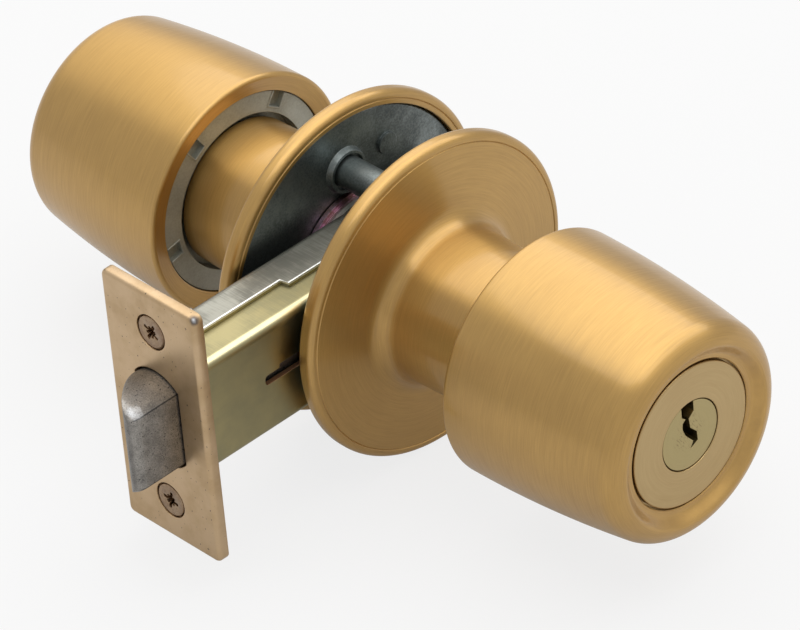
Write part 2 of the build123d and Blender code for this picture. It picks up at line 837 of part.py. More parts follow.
# Latch bolt: arched top and bottom, bevelled on the inside face of the door
with BuildPart() as latch_bolt:
    with BuildSketch(Plane.YZ.offset(bolt_nose_x)):
        with BuildLine():
            half_w, half_h, crown = bolt_outline(0)
            ThreePointArc((-half_w, half_h), (0, crown), (half_w, half_h))
            Line((half_w, half_h), (half_w, -half_h))
            ThreePointArc((half_w, -half_h), (0, -crown), (-half_w, -half_h))
            Line((-half_w, -half_h), (-half_w, half_h))
        make_face()
    extrude(amount=bolt_rear_x - bolt_nose_x)
    with BuildSketch(Plane.XY.offset(-case_h)):
        with BuildLine():
            foot_x = -backset - side_gap
            nose_y = -bolt_w / 2 + bolt_nose_w
            bow_x = (foot_x + bolt_nose_x) / 2 - bevel_bow
            bow_y = (bolt_w / 2 + nose_y) / 2 + bevel_bow
            ThreePointArc((foot_x, bolt_w / 2), (bow_x, bow_y), (bolt_nose_x, nose_y))
            Polyline((bolt_nose_x, nose_y), (bolt_nose_x, bolt_w), (foot_x, bolt_w), (foot_x, bolt_w / 2))
        make_face()
    extrude(amount=2 * case_h, mode=Mode.SUBTRACT)
    fillet(latch_bolt.faces().sort_by(Axis.X)[0].edges(), bolt_edge_r)
    # Spring bore, slot for the tail and its two pin holes
    with BuildSketch(Plane.YZ.offset(bolt_rear_x)):
        with Locations((spring_y, 0)):
            Circle(spring_r + side_gap)
    extrude(amount=-spring_bore_depth, mode=Mode.SUBTRACT)
    with BuildSketch(Plane.XZ.offset(-(bolt_tail_y + bolt_tail_t + snug))):
        with Locations((bolt_rear_x - tail_in_bolt / 2, 0)):
            Rectangle(tail_in_bolt, case_h)
    extrude(amount=bolt_tail_t + 2 * snug, mode=Mode.SUBTRACT)
    with BuildSketch(Plane.XZ.offset(-bolt_w)):
        with Locations(*tail_pin_spots):
            Circle(tail_pin_r + snug)
    extrude(amount=2 * bolt_w, mode=Mode.SUBTRACT)
save(latch_bolt, "latch_bolt")

# Bolt tail: flat yoke beside the hub, with two tabs that the hub's lobes push
with BuildPart() as bolt_tail:
    tail_front = bolt_rear_x - tail_in_bolt + fit
    window_rear = hub_body_r + side_gap
    window_front = -window_rear - bolt_throw
    tail_rear = window_rear + bolt_tail_bridge
    tab_low = hub_body_r + side_gap + fit
    with BuildSketch(Plane.XZ.offset(-(bolt_tail_y + bolt_tail_t))):
        with Locations(((tail_front + tail_rear) / 2, 0)):
            Rectangle(tail_rear - tail_front, bolt_tail_h)
        with Locations(((window_front + window_rear) / 2, 0)):
            RectangleRounded(window_rear - window_front, window_h, tail_window_round, mode=Mode.SUBTRACT)
        with Locations(*tail_pin_spots):
            Circle(tail_pin_r + snug, mode=Mode.SUBTRACT)
    extrude(amount=bolt_tail_t)
    with BuildSketch(Plane.XZ.offset(-(bolt_tail_y + bolt_tail_t))):
        tab_z = (tab_low + bolt_tail_h / 2) / 2
        with Locations((tab_x + bolt_tail_t / 2, tab_z), (tab_x + bolt_tail_t / 2, -tab_z)):
            Rectangle(bolt_tail_t, bolt_tail_h / 2 - tab_low)
    extrude(amount=bolt_tail_y + bolt_tail_t - side_gap)
save(bolt_tail, "bolt_tail")

with BuildPart() as tail_pins:
    with BuildSketch(Plane.XZ.offset(bolt_w / 2)):
        with Locations(*tail_pin_spots):
            Circle(tail_pin_r)
    extrude(amount=-bolt_w)
save(tail_pins, "tail_pins")

# Bolt spring: between the bottom of the bolt's bore and the lanced seat
spring_start = bolt_rear_x - spring_bore_depth + spring_wire_r + flat_gap
spring_length = seat_x - spring_wire_r - flat_gap - spring_start
with BuildPart() as bolt_spring:
    with BuildLine() as coil:
        Helix(
            pitch=spring_length / spring_turns,
            height=spring_length,
            radius=spring_r - spring_wire_r,
            center=(spring_start, spring_y, 0),
            direction=(1, 0, 0),
        )
    with BuildSketch(Plane(origin=coil.line @ 0, z_dir=coil.line % 0)):
        Circle(spring_wire_r)
    sweep(path=coil.line)
save(bolt_spring, "bolt_spring")

# Latch hub: turns in the webs on its bearings and carries two lobes
lobe_angle = radians(hub_turn / 2)
with BuildPart() as latch_hub:
    hub_end_y = case_half + end_gap
    flange_y = case_half - case_sheet - side_gap
    shoulder_y = bolt_tail_y + bolt_tail_t + side_gap + fit
    with BuildSketch(Plane.XY):
        with BuildLine():
            Polyline(
                (0, -hub_end_y),
                (hub_bearing_r, -hub_end_y),
                (hub_bearing_r, -flange_y),
                (hub_flange_r, -flange_y),
                (hub_flange_r, -lobe_w / 2),
                (hub_body_r, -lobe_w / 2),
                (hub_body_r, shoulder_y),
                (hub_bearing_r, shoulder_y),
                (hub_bearing_r, hub_end_y),
                (0, hub_end_y),
                close=True,
            )
        make_face()
    revolve(axis=Axis.Y)
    # Two arms beside the hub's flange, each ending in a driving pin
    for end in (1, -1):
        pin_spot = (-lobe_x, end * lobe_r * cos(lobe_angle))
        with BuildSketch(Plane.XZ):
            Circle(lobe_root_r)
            with Locations(pin_spot):
                Circle(lobe_tip_r)
            make_hull()
        extrude(amount=lobe_w / 2)
        with BuildSketch(Plane.XZ.offset(-lobe_w / 2)):
            with Locations(pin_spot):
                Circle(lobe_tip_r)
        extrude(amount=lobe_w)
    with BuildSketch(Plane.XZ.offset(hub_end_y)):
        Rectangle(spindle_size + fit, spindle_size + fit)
    extrude(amount=-2 * hub_end_y, mode=Mode.SUBTRACT)
save(latch_hub, "latch_hub")
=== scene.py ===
import math

import bmesh
import bpy
from mathutils import Matrix, Vector


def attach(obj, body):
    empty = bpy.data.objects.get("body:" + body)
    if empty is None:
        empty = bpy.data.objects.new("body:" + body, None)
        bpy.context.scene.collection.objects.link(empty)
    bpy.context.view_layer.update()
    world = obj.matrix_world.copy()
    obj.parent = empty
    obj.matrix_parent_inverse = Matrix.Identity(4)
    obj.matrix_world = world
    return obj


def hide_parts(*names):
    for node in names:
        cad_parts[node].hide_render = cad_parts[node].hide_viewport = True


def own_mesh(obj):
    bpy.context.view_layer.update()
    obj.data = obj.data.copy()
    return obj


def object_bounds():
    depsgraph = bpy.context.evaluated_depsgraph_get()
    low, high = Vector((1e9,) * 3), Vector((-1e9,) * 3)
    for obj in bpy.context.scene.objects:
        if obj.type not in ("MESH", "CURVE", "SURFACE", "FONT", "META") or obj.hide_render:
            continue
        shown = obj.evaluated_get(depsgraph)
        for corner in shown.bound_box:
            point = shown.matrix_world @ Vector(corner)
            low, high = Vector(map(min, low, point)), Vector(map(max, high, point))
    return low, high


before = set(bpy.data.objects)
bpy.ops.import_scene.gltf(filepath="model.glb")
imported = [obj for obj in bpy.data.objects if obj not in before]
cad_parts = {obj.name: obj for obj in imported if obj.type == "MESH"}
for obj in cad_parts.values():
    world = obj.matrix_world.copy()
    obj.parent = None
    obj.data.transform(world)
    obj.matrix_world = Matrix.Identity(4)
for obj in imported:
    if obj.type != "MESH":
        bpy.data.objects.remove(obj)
CAD_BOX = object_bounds()

bl_info = {
    "name": "Keyed knob lock",
    "version": (1, 0, 0),
    "blender": (4, 5, 0),
    "location": "View3D > Sidebar > Knob Lock",
    "description": "Builds the looks of a keyed tubular knob lock on its packed frame",
    "category": "Object",
}

# Lengths are in metres, in the frame's axes: the spindle runs along Y, the keyed knob is at -Y,
# the latch reaches towards -X and Z is up. Side is -1 outside and 1 inside.
MM = 0.001
MICRON = 1e-6
SIDES = ((-1, "outside"), (1, "inside"))


def size(name, description, millimetres):
    """A length that a user may change."""
    return bpy.props.FloatProperty(
        name=name, description=description, default=millimetres * MM, unit="LENGTH", precision=5
    )


def colour(name, description, red, green, blue):
    """A colour that a user may change."""
    return bpy.props.FloatVectorProperty(
        name=name,
        description=description,
        default=(red, green, blue, 1.0),
        size=4,
        min=0.0,
        max=1.0,
        subtype="COLOR",
    )


def angle(name, description, degrees):
    """An angle that a user may change."""
    return bpy.props.FloatProperty(
        name=name, description=description, default=math.radians(degrees), subtype="ANGLE"
    )


def number(name, description, default):
    """A plain number that a user may change."""
    return bpy.props.FloatProperty(name=name, description=description, default=default, precision=4)


class KnobLockRoseSizes(bpy.types.PropertyGroup):
    """Sizes of the roses and their necks"""

    radius: size("Radius", "Outside radius of a rose", 33.5)
    land: size("Land", "Distance of the door face from mid-door", 9.4)
    depth: size("Depth", "Depth of the rolled rim", 3.5)
    crown: size("Crown", "Rise of the front towards the neck", 1.4)
    rim_width: size("Rim width", "Width of the rim's land", 2.9)
    sheet: size("Sheet", "Thickness of the metal", 1.0)
    rim_round: size("Rim round", "Round at the rim's door edge", 1.3)
    bead_round: size("Bead round", "Round at the rim's front edge", 1.3)
    crease: size("Crease", "Half width and depth of the crease beside the bead", 0.17)
    crease_in: size("Crease inset", "Distance of the crease from the rim", 1.75)
    flare: size("Flare", "Round at the root of the neck", 4.0)
    neck: size("Neck", "Outside radius of the neck", 16.2)
    neck_taper: size("Neck taper", "Loss of radius along the neck", 0.85)
    neck_end: size("Neck end", "Distance of the neck's end from mid-door", 41.5)


class KnobLockKnobSizes(bpy.types.PropertyGroup):
    """Sizes of the knob shells and their inserts"""

    radius: size("Radius", "Largest radius of a knob", 25.3)
    back: size("Back", "Distance of the rolled lip from mid-door", 39.3)
    length: size("Length", "Length of a knob", 42.0)
    front_radius: size("Front radius", "Radius where the front starts to round", 22.6)
    front_round: size("Front round", "Depth of the rounded front", 4.2)
    crest: size("Crest", "Radius of the front's highest ring", 18.9)
    crest_drop: size("Crest drop", "Depth of the highest ring behind the knob's full length", 0.45)
    land_width: size("Land width", "Width of the flat ring round the opening", 0.8)
    opening: size("Opening", "Radius of the front opening", 15.3)
    face_depth: size("Face depth", "Depth of the face behind the knob's full length", 2.1)
    face_sink: size("Face sink", "Depth of the opening's edge below the disc", 0.2)
    face_plate: size("Face thickness", "Thickness of the disc in the opening", 1.5)
    lip_round: size("Lip round", "Round of the lip's outer edge", 0.8)
    lip_slope: size("Lip slope", "Depth of the lip's inner edge behind its outer edge", 1.0)
    lip_edge: size("Lip edge", "Round of the lip's inner edge", 0.3)
    lip_width: size("Lip width", "Width of the rolled lip", 4.1)
    lip_fold: size("Lip fold", "Thickness of the folded lip", 0.6)
    sheet: size("Sheet", "Thickness of the metal", 1.2)
    inner_step: size("Inner step", "Setback of the inner corner at the front", 0.8)
    ring_back: size("Ring back", "Distance of the insert's ring from mid-door", 40.7)
    ring_radius: size("Ring radius", "Outside radius of the insert's ring", 21.0)
    notch_length: size("Notch length", "Radial length of a notch", 3.3)
    notch_width: size("Notch width", "Width of a notch", 3.1)
    notch_turns: bpy.props.FloatVectorProperty(
        name="Notch turns",
        description="Angles of the notches round a ring",
        default=[math.radians(a) for a in (57.0, 124.5, 192.0, 264.0, 336.0)],
        size=5,
        unit="ROTATION",
    )
    frame_width: size("Border width", "Width of the raised border of a notch", 0.34)
    frame_height: size("Border height", "Height of the raised border of a notch", 0.16)


class KnobLockCylinderSizes(bpy.types.PropertyGroup):
    """Sizes of the key cylinder, its plug and the inside end plate"""

    disc: size("Disc radius", "Radius of the discs in the knobs' openings", 14.9)
    flange: size("Flange radius", "Radius of the flange behind a disc", 17.6)
    flange_depth: size("Flange depth", "Thickness of the flange", 1.8)
    gap: size("Gap", "Clearance below the disc", 0.1)
    barrel: size("Barrel radius", "Radius of the cylinder's barrel", 9.6)
    barrel_end: size("Barrel end", "Distance of the barrel's end from mid-door", 47.2)
    tail_bore: size("Tail bore", "Radius of the clip's recess in the barrel", 8.35)
    tail_depth: size("Tail depth", "Depth of the clip's recess", 2.0)
    running: size("Running gap", "Radial clearance of the plug", 0.06)
    tower_width: size("Tower width", "Width of the pin tower", 6.8)
    tower_low: size("Tower low", "Height where the tower leaves the barrel", 8.45)
    tower_top: size("Tower top", "Height of the tower", 15.5)
    tower_length: size("Tower length", "Length of the tower", 22.5)
    head: size("Plug head", "Radius of the plug's head", 7.24)
    head_gap: size("Head gap", "Radial clearance of the plug's head", 0.18)
    head_depth: size("Plug head depth", "Thickness of the plug's head", 2.1)
    plug: size("Plug radius", "Radius of the plug's barrel", 6.45)
    plug_inset: size("Plug inset", "Depth of the plug's face below the disc", 0.2)
    plug_end: size("Plug end", "Distance of the plug's end from mid-door", 47.5)
    groove: size("Groove", "Depth of the clip's groove in the plug", 0.9)
    groove_from: size("Groove start", "Distance of the groove from mid-door", 47.9)
    groove_to: size("Groove end", "Far edge of the groove from mid-door", 49.0)
    keyway_length: size("Keyway length", "Depth of the keyway behind the disc", 26.3)
    button: size("Button radius", "Radius of the turn button's seat", 6.06)
    button_seat: size("Button seat", "Depth of the turn button's seat", 2.0)
    button_stem: size("Button stem", "Radius of the turn button's bore", 3.66)


class KnobLockLatchSizes(bpy.types.PropertyGroup):
    """Sizes of the face plate, its screws, the bolt and its spring"""

    backset: size("Backset", "Front of the face plate to the spindle", 60.0)
    plate_height: size("Plate height", "Height of the face plate", 57.2)
    plate_width: size("Plate width", "Width of the face plate", 25.4)
    plate_depth: size("Plate depth", "Thickness of the face plate", 2.5)
    plate_edge: size("Plate edge", "Round of the plate's front edge", 0.9)
    plate_corner: size("Plate corner", "Round of the plate's corners", 1.4)
    chip: size("Chip", "Size of the knocked corner", 1.5)
    screw_height: size("Screw height", "Distance of a screw from the plate's middle", 19.75)
    screw_head: size("Screw head", "Radius of a screw's head", 3.7)
    screw_radius: size("Screw radius", "Radius of a screw", 1.9)
    screw_length: size("Screw length", "Length of a screw", 9.0)
    screw_gap: size("Screw gap", "Depth of a head below the plate", 0.16)
    screw_ring: size("Screw ring", "Width of the gap round a head", 0.34)
    screw_aside: size("Screw offset", "Shift of a countersink's rim off its screw, each way", 0.16)
    recess_length: size("Recess length", "Length of the star recess", 3.9)
    recess_width: size("Recess width", "Width of an arm of the recess", 0.66)
    recess_depth: size("Recess depth", "Depth of the star recess", 1.3)
    bolt_width: size("Bolt width", "Width of the bolt", 11.2)
    bolt_side: size("Bolt side", "Height of the bolt's flat side", 16.2)
    bolt_rise: size("Bolt rise", "Rise of the bolt's arched top", 2.5)
    bolt_nose: size("Bolt nose", "Distance of the bolt's nose from the spindle", 71.4447)
    bolt_rear: size("Bolt rear", "Distance of the bolt's rear end from the spindle", 30.0)
    nose_width: size("Nose width", "Width of the bolt's nose", 2.6)
    nose_round: size("Nose round", "Length of the bolt's rounded nose", 2.3)
    nose_inset: size("Nose inset", "Loss of width on each side of the rounded nose", 1.2)
    bolt_edge: size("Bolt edge", "Round of the bolt's long edges", 0.28)
    bevel_bow: size("Bevel bow", "Bow of the bolt's bevel", 0.7)
    bolt_gap: size("Bolt gap", "Clearance round the bolt in the plate", 0.34)
    bore: size("Spring bore", "Radius of the spring's bore in the bolt", 3.3)
    bore_depth: size("Bore depth", "Depth of the spring's bore", 16.0)
    spring_y: size("Spring offset", "Distance of the spring from mid-door", -0.9)
    spring_radius: size("Spring radius", "Radius of the coil", 2.6)
    wire: size("Wire", "Radius of the spring's wire", 0.4)
    spring_from: size("Spring start", "Distance of the coil's start from the spindle", 45.5)
    spring_to: size("Spring end", "Distance of the coil's end from the spindle", 13.1)


class KnobLockColours(bpy.types.PropertyGroup):
    """Colours of the finishes"""

    bronze: colour("Bronze", "Satin bronze of roses and knobs", 0.575, 0.35, 0.108)
    bronze_dark: colour("Dark bronze", "Darker streaks of the bronze", 0.48, 0.29, 0.09)
    brass: colour("Plate brass", "Face plate", 0.6, 0.435, 0.265)
    brass_dark: colour("Dark plate brass", "Handled patches of the face plate", 0.5, 0.35, 0.195)
    face: colour("Cylinder brass", "Cylinder face and plug", 0.53, 0.385, 0.19)
    face_dark: colour("Dark cylinder brass", "Turning marks of the face", 0.475, 0.335, 0.16)
    plug: colour("Plug", "Olive brass of the plug", 0.4, 0.35, 0.165)
    key_marks: colour("Key marks", "Marks of keys round the keyway", 0.16, 0.1, 0.045)
    zinc: colour("Zinc", "Cast zinc", 0.29, 0.325, 0.32)
    zinc_dark: colour("Dark zinc", "Dark patches of the cast zinc", 0.11, 0.125, 0.122)
    insert: colour("Insert", "Cast rings in the backs of the knobs", 0.4, 0.41, 0.36)
    insert_dark: colour("Dark insert", "Dull patches of the cast rings", 0.28, 0.285, 0.24)
    yellow: colour("Yellow steel", "Yellow passivated sheet", 0.41, 0.355, 0.185)
    yellow_dark: colour("Olive steel", "Olive patches of the yellow sheet", 0.33, 0.3, 0.17)
    # Painted highlight: this colour stands in for the lamp's reflection along the folds of the
    # yellow sheet
    fold: colour("Fold", "Polished folds of the yellow sheet", 0.86, 0.78, 0.48)
    copper: colour("Copper edge", "Cut edges of the yellow sheet", 0.52, 0.3, 0.17)
    grey: colour("Grey steel", "Zinc plated sheet", 0.36, 0.35, 0.3)
    grey_dark: colour("Dark grey steel", "Dull patches of the plated sheet", 0.2, 0.195, 0.165)
    cut: colour("Cut edge", "Cut edges of the plated sheet", 0.95, 0.95, 0.92)
    bare: colour("Bare steel", "Worn or cut bare metal", 0.64, 0.65, 0.66)
    chip: colour("Chip", "Dark border of the plate's knocked corner", 0.06, 0.065, 0.08)
    sinter: colour("Sintered steel", "Bolt", 0.37, 0.35, 0.32)
    sinter_dark: colour("Dark sintered steel", "Pores of the bolt", 0.185, 0.173, 0.16)
    # Also used for the painted shade on the bolt's faces turned towards -X
    pore_and_shade: colour("Pore", "Pores, seams and specks", 0.05, 0.05, 0.052)
    wire: colour("Spring steel", "Springs and clips", 0.33, 0.33, 0.34)
    wire_dark: colour("Dark spring steel", "Drawing marks of the springs", 0.2, 0.2, 0.215)
    collar: colour("Collar", "Violet bloom of the collars", 0.62, 0.38, 0.52)
    collar_dark: colour("Dark collar", "Brown bloom of the collars", 0.26, 0.16, 0.13)
    screw: colour("Screw", "Face plate screws", 0.37, 0.265, 0.17)
    screw_dark: colour("Dark screw", "Worn plating of the screws", 0.26, 0.17, 0.11)
    floor: colour("Floor", "Studio floor", 0.56, 0.56, 0.56)


class KnobLockStudio(bpy.types.PropertyGroup):
    """Camera and light"""

    azimuth: angle("Azimuth", "Camera's turn round Z", -41.448)
    elevation: angle("Elevation", "Camera's height above the horizon", 36.605)
    roll: angle("Roll", "Camera's roll", -5.124)
    distance: number("Distance", "Camera to the object, in metres", 1.2)
    aim_right: size("Aim right", "Point in the middle of the picture, to the right", 1.957)
    aim_up: size("Aim up", "Point in the middle of the picture, upwards", -8.498)
    scale: number("Picture scale", "Picture widths per metre at the object", 6.53625)
    key_power: number("Key power", "Watts of the long soft light", 15.6)
    world: number("World", "Strength of the even surround", 0.7)
    floor_white: number("White floor", "Share of plain white in the floor for the camera", 0.8)
    floor_mirrored: number("Mirrored floor", "Share of plain white in reflections", 0.2)


# Outlines

def tangent_arc(start, heading, end, steps):
    """An arc from start along heading to end: its points after start, and its last heading."""
    start, heading, end = Vector(start), Vector(heading).normalized(), Vector(end)
    normal = Vector((-heading.y, heading.x))
    chord = end - start
    lean = 2 * chord.dot(normal)
    radius = chord.length_squared / lean
    centre = start + normal * radius
    turn = 2 * math.atan2(chord.dot(normal), chord.dot(heading))
    spoke = start - centre
    points = [centre + Matrix.Rotation(turn * k / steps, 2) @ spoke for k in range(1, steps + 1)]
    return [tuple(p) for p in points], Matrix.Rotation(turn, 2) @ heading


def rounded(corners, radii, steps=6, hold=0.0):
    """A closed outline with rounded corners; hold adds a point beside each end of a round."""
    outline = []
    for k, (corner, radius) in enumerate(zip(corners, radii)):
        corner = Vector(corner)
        before = (Vector(corners[k - 1]) - corner).normalized()
        after = (Vector(corners[(k + 1) % len(corners)]) - corner).normalized()
        if radius <= 0:
            outline.append(tuple(corner))
            continue
        reach = radius / math.tan(before.angle(after) / 2)
        start, end = corner + before * reach, corner + after * reach
        if hold:
            outline.append(tuple(start + before * hold))
        outline.append(tuple(start))
        outline += tangent_arc(start, -before, end, steps)[0]
        if hold:
            outline.append(tuple(end + after * hold))
    return outline


def circle(radius, count, middle=(0.0, 0.0)):
    """Points of a circle."""
    turns = [2 * math.pi * k / count for k in range(count)]
    return [(middle[0] + radius * math.cos(t), middle[1] + radius * math.sin(t)) for t in turns]


def arched(width, side, rise, steps=24):
    """An outline with flat sides, an arc over the top and another under the bottom."""
    half_w, half_h = width / 2, side / 2
    bulge = (half_w**2 + rise**2) / (2 * rise)
    sweep = math.asin(half_w / bulge)
    top = []
    for k in range(steps + 1):
        t = sweep - 2 * sweep * k / steps
        top.append((bulge * math.sin(t), half_h + rise - bulge + bulge * math.cos(t)))
    return top + [(-y, -z) for y, z in top]


# Meshes

def finished(name, bm, sharp=32.0):
    """Turns a bmesh into a shaded object."""
    bmesh.ops.remove_doubles(bm, verts=bm.verts, dist=1e-7)
    bmesh.ops.dissolve_degenerate(bm, edges=bm.edges, dist=1e-8)
    bmesh.ops.recalc_face_normals(bm, faces=bm.faces)
    mesh = bpy.data.meshes.new(name)
    bm.to_mesh(mesh)
    bm.free()
    mesh.shade_smooth()
    mesh.set_sharp_from_angle(angle=math.radians(sharp))
    piece = bpy.data.objects.new(name, mesh)
    bpy.context.scene.collection.objects.link(piece)
    return piece


def spin(bm, outline, side=1, turns=256):
    """Adds a closed outline of (radius, y) points, spun round the Y axis on one side."""
    rings = []
    for k in range(turns):
        c, s = math.cos(2 * math.pi * k / turns), math.sin(2 * math.pi * k / turns)
        rings.append([bm.verts.new((r * c, side * y, r * s)) for r, y in outline])
    skin(bm, rings[-1:] + rings)


def skin(bm, *rows):
    """Joins the closed loops of each row, one to the next, with quads."""
    for loops in rows:
        for one, two in zip(loops, loops[1:]):
            for k in range(len(one)):
                bm.faces.new((one[k - 1], one[k], two[k], two[k - 1]))


def fill(bm, *loops):
    """Fills the flat area between closed loops."""
    edges = []
    for loop in loops:
        for k in range(len(loop)):
            pair = (loop[k - 1], loop[k])
            edges.append(bm.edges.get(pair) or bm.edges.new(pair))
    bmesh.ops.triangle_fill(bm, use_beauty=True, use_dissolve=False, edges=edges)


def facing_x(bm, outline, x):
    """A loop of (y, z) points at one x."""
    return [bm.verts.new((x, y, z)) for y, z in outline]


def facing_y(bm, outline, y):
    """A loop of (x, z) points at one y."""
    return [bm.verts.new((x, y, z)) for x, z in outline]


def block(bm, low, high):
    """A plain box."""
    made = bmesh.ops.create_cube(bm, size=1.0)
    low, high = Vector(low), Vector(high)
    bmesh.ops.scale(bm, vec=high - low, verts=made["verts"])
    bmesh.ops.translate(bm, vec=(high + low) / 2, verts=made["verts"])


def place(piece, body, finish, slot, *nodes):
    """Gives a piece its finish and hangs it on its body in place of the CAD nodes."""
    piece.data.materials.append(material(finish))
    if nodes:
        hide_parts(*nodes)
    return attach(piece, body)


# Finishes

class Graph:
    """Short-hand for a material's nodes."""

    def __init__(self, name):
        self.material = bpy.data.materials.new(name)
        self.material.use_nodes = True
        self.nodes = self.material.node_tree.nodes
        self.links = self.material.node_tree.links
        self.shader = self.nodes["Principled BSDF"]
        where = self.nodes.new("ShaderNodeTexCoord")
        self.point, self.normal = where.outputs["Object"], where.outputs["Normal"]

    def put(self, socket, value):
        if isinstance(value, bpy.types.NodeSocket):
            self.links.new(value, socket)
        else:
            socket.default_value = value

    def set(self, **values):
        for name, value in values.items():
            label = name.replace("_", " ").title().replace("Ior", "IOR")
            self.put(self.shader.inputs[label], value)

    def axes(self, vector):
        node = self.nodes.new("ShaderNodeSeparateXYZ")
        self.put(node.inputs[0], vector)
        return node.outputs[0], node.outputs[1], node.outputs[2]

    def vector(self, x, y, z=0.0):
        node = self.nodes.new("ShaderNodeCombineXYZ")
        for socket, value in zip(node.inputs, (x, y, z)):
            self.put(socket, value)
        return node.outputs[0]

    def math(self, operation, a, b=0.0):
        node = self.nodes.new("ShaderNodeMath")
        node.operation = operation
        self.put(node.inputs[0], a)
        self.put(node.inputs[1], b)
        return node.outputs[0]

    def times(self, a, b):
        return self.math("MULTIPLY", a, b)

    def plus(self, a, b):
        return self.math("ADD", a, b)

    def minus(self, a, b):
        return self.math("SUBTRACT", a, b)

    def magnitude(self, value):
        return self.math("ABSOLUTE", value)

    def most(self, value, *others):
        for other in others:
            value = self.math("MAXIMUM", value, other)
        return value

    def blend(self, a, b, share):
        """That share of a, and b for the rest."""
        return self.plus(self.times(a, share), self.times(b, 1 - share))

    def noise(self, vector, scale, detail=2.0, roughness=0.5):
        node = self.nodes.new("ShaderNodeTexNoise")
        self.put(node.inputs["Vector"], vector)
        node.inputs["Scale"].default_value = scale
        node.inputs["Detail"].default_value = detail
        node.inputs["Roughness"].default_value = roughness
        return node.outputs[0]

    def grain(self, place, per_metre, detail=3.0, roughness=0.6):
        """Noise with a scale of its own along each coordinate."""
        vector = self.vector(*[self.times(p, n) for p, n in zip(place, per_metre)])
        return self.noise(vector, 1.0, detail, roughness)

    def spread(self, value, low, high, to_low=0.0, to_high=1.0):
        node = self.nodes.new("ShaderNodeMapRange")
        node.interpolation_type = "SMOOTHSTEP"
        self.put(node.inputs[0], value)
        for socket, level in zip(list(node.inputs)[1:5], (low, high, to_low, to_high)):
            socket.default_value = level
        return node.outputs[0]

    def mix(self, factor, a, b):
        node = self.nodes.new("ShaderNodeMix")
        node.data_type = "RGBA"
        self.put(node.inputs[0], factor)
        self.put(node.inputs[6], a)
        self.put(node.inputs[7], b)
        return node.outputs[2]

    def bump(self, height, distance):
        node = self.nodes.new("ShaderNodeBump")
        node.inputs["Strength"].default_value = 1.0
        node.inputs["Distance"].default_value = distance
        self.put(node.inputs["Height"], height)
        self.put(self.shader.inputs["Normal"], node.outputs[0])
        return node

    def soften(self, bump, radius):
        node = self.nodes.new("ShaderNodeBevel")
        node.samples = 6
        node.inputs["Radius"].default_value = radius
        self.put(bump.inputs["Normal"], node.outputs[0])

    def radius(self):
        """Distance from the spindle's axis."""
        x, y, z = self.axes(self.point)
        return self.math("SQRT", self.plus(self.times(x, x), self.times(z, z)))

    def near(self, spot, radius, ragged):
        """1 near a spot and 0 away from it, with a ragged edge."""
        node = self.nodes.new("ShaderNodeVectorMath")
        node.operation = "DISTANCE"
        self.put(node.inputs[0], self.point)
        node.inputs[1].default_value = spot
        wander = self.times(self.noise(self.point, 1.6 / radius, 3.0, 0.6), ragged)
        return self.spread(self.plus(node.outputs["Value"], wander), radius, radius * 0.6)

    def scratches(self, across, along, width, length, low, high):
        """Fine straight marks that cross one direction."""
        marks = self.grain((across, along), (1 / width, 1 / length), 2.0)
        return self.spread(marks, low, high)

    def turned(self, bright, dark, width, rough_low, rough_high, relief, spun):
        """Turning or brushing marks round the spindle's axis."""
        x, y, z = self.axes(self.point)
        # Grows across the marks, on the fronts as well as along the barrels
        across = self.minus(self.magnitude(y), self.radius())

        def streaks(wide, run):
            return self.grain((x, across, z), (1 / run, 1 / wide, 1 / run))

        fine = streaks(width, 5 * MM)
        tone = self.blend(fine, streaks(2.6 * width, 12 * MM), 0.6)
        cloud = self.noise(self.point, 55.0, 3.0, 0.55)
        shade = self.blend(tone, cloud, 0.7)
        self.set(
            base_color=self.mix(self.spread(shade, 0.3, 0.7), dark, bright),
            metallic=1.0,
            roughness=self.spread(tone, 0.25, 0.75, rough_high, rough_low),
            anisotropic=spun,
            anisotropic_rotation=0.25,
        )
        tangent = self.nodes.new("ShaderNodeTangent")
        tangent.direction_type = "RADIAL"
        tangent.axis = "Y"
        self.put(self.shader.inputs["Tangent"], tangent.outputs[0])
        return self.bump(fine, relief)


def satin_bronze(tint):
    """Lacquered bronze, brushed round the spindle's axis."""
    g = Graph("satin_bronze")
    g.turned(tint.bronze, tint.bronze_dark, 0.18 * MM, 0.36, 0.46, 1.6 * MICRON, 0.8)
    g.set(coat_weight=0.6, coat_roughness=0.14)
    return g.material


def cylinder_brass(tint):
    """Pale turned brass with marks of keys round the keyway."""
    g = Graph("cylinder_brass")
    bump = g.turned(tint.face, tint.face_dark, 0.16 * MM, 0.3, 0.38, 0.6 * MICRON, 0.25)
    g.soften(bump, 0.12 * MM)
    x, y, z = g.axes(g.point)
    across, along = g.plus(x, g.times(z, 0.5)), g.minus(z, x)
    marks = g.scratches(across, along, 0.35 * MM, 1.8 * MM, 0.52, 0.66)
    keyway = (-0.4 * MM, -78.9 * MM, 0.8 * MM)
    around = g.near(keyway, 6.4 * MM, 3.0 * MM)
    turned = g.shader.inputs["Base Color"].links[0].from_socket
    coat = g.mix(g.spread(g.radius(), 7.4 * MM, 7.2 * MM, 0.0, 0.6), turned, tint.plug)
    g.set(base_color=g.mix(g.times(g.times(marks, around), 0.6), coat, tint.key_marks))
    return g.material


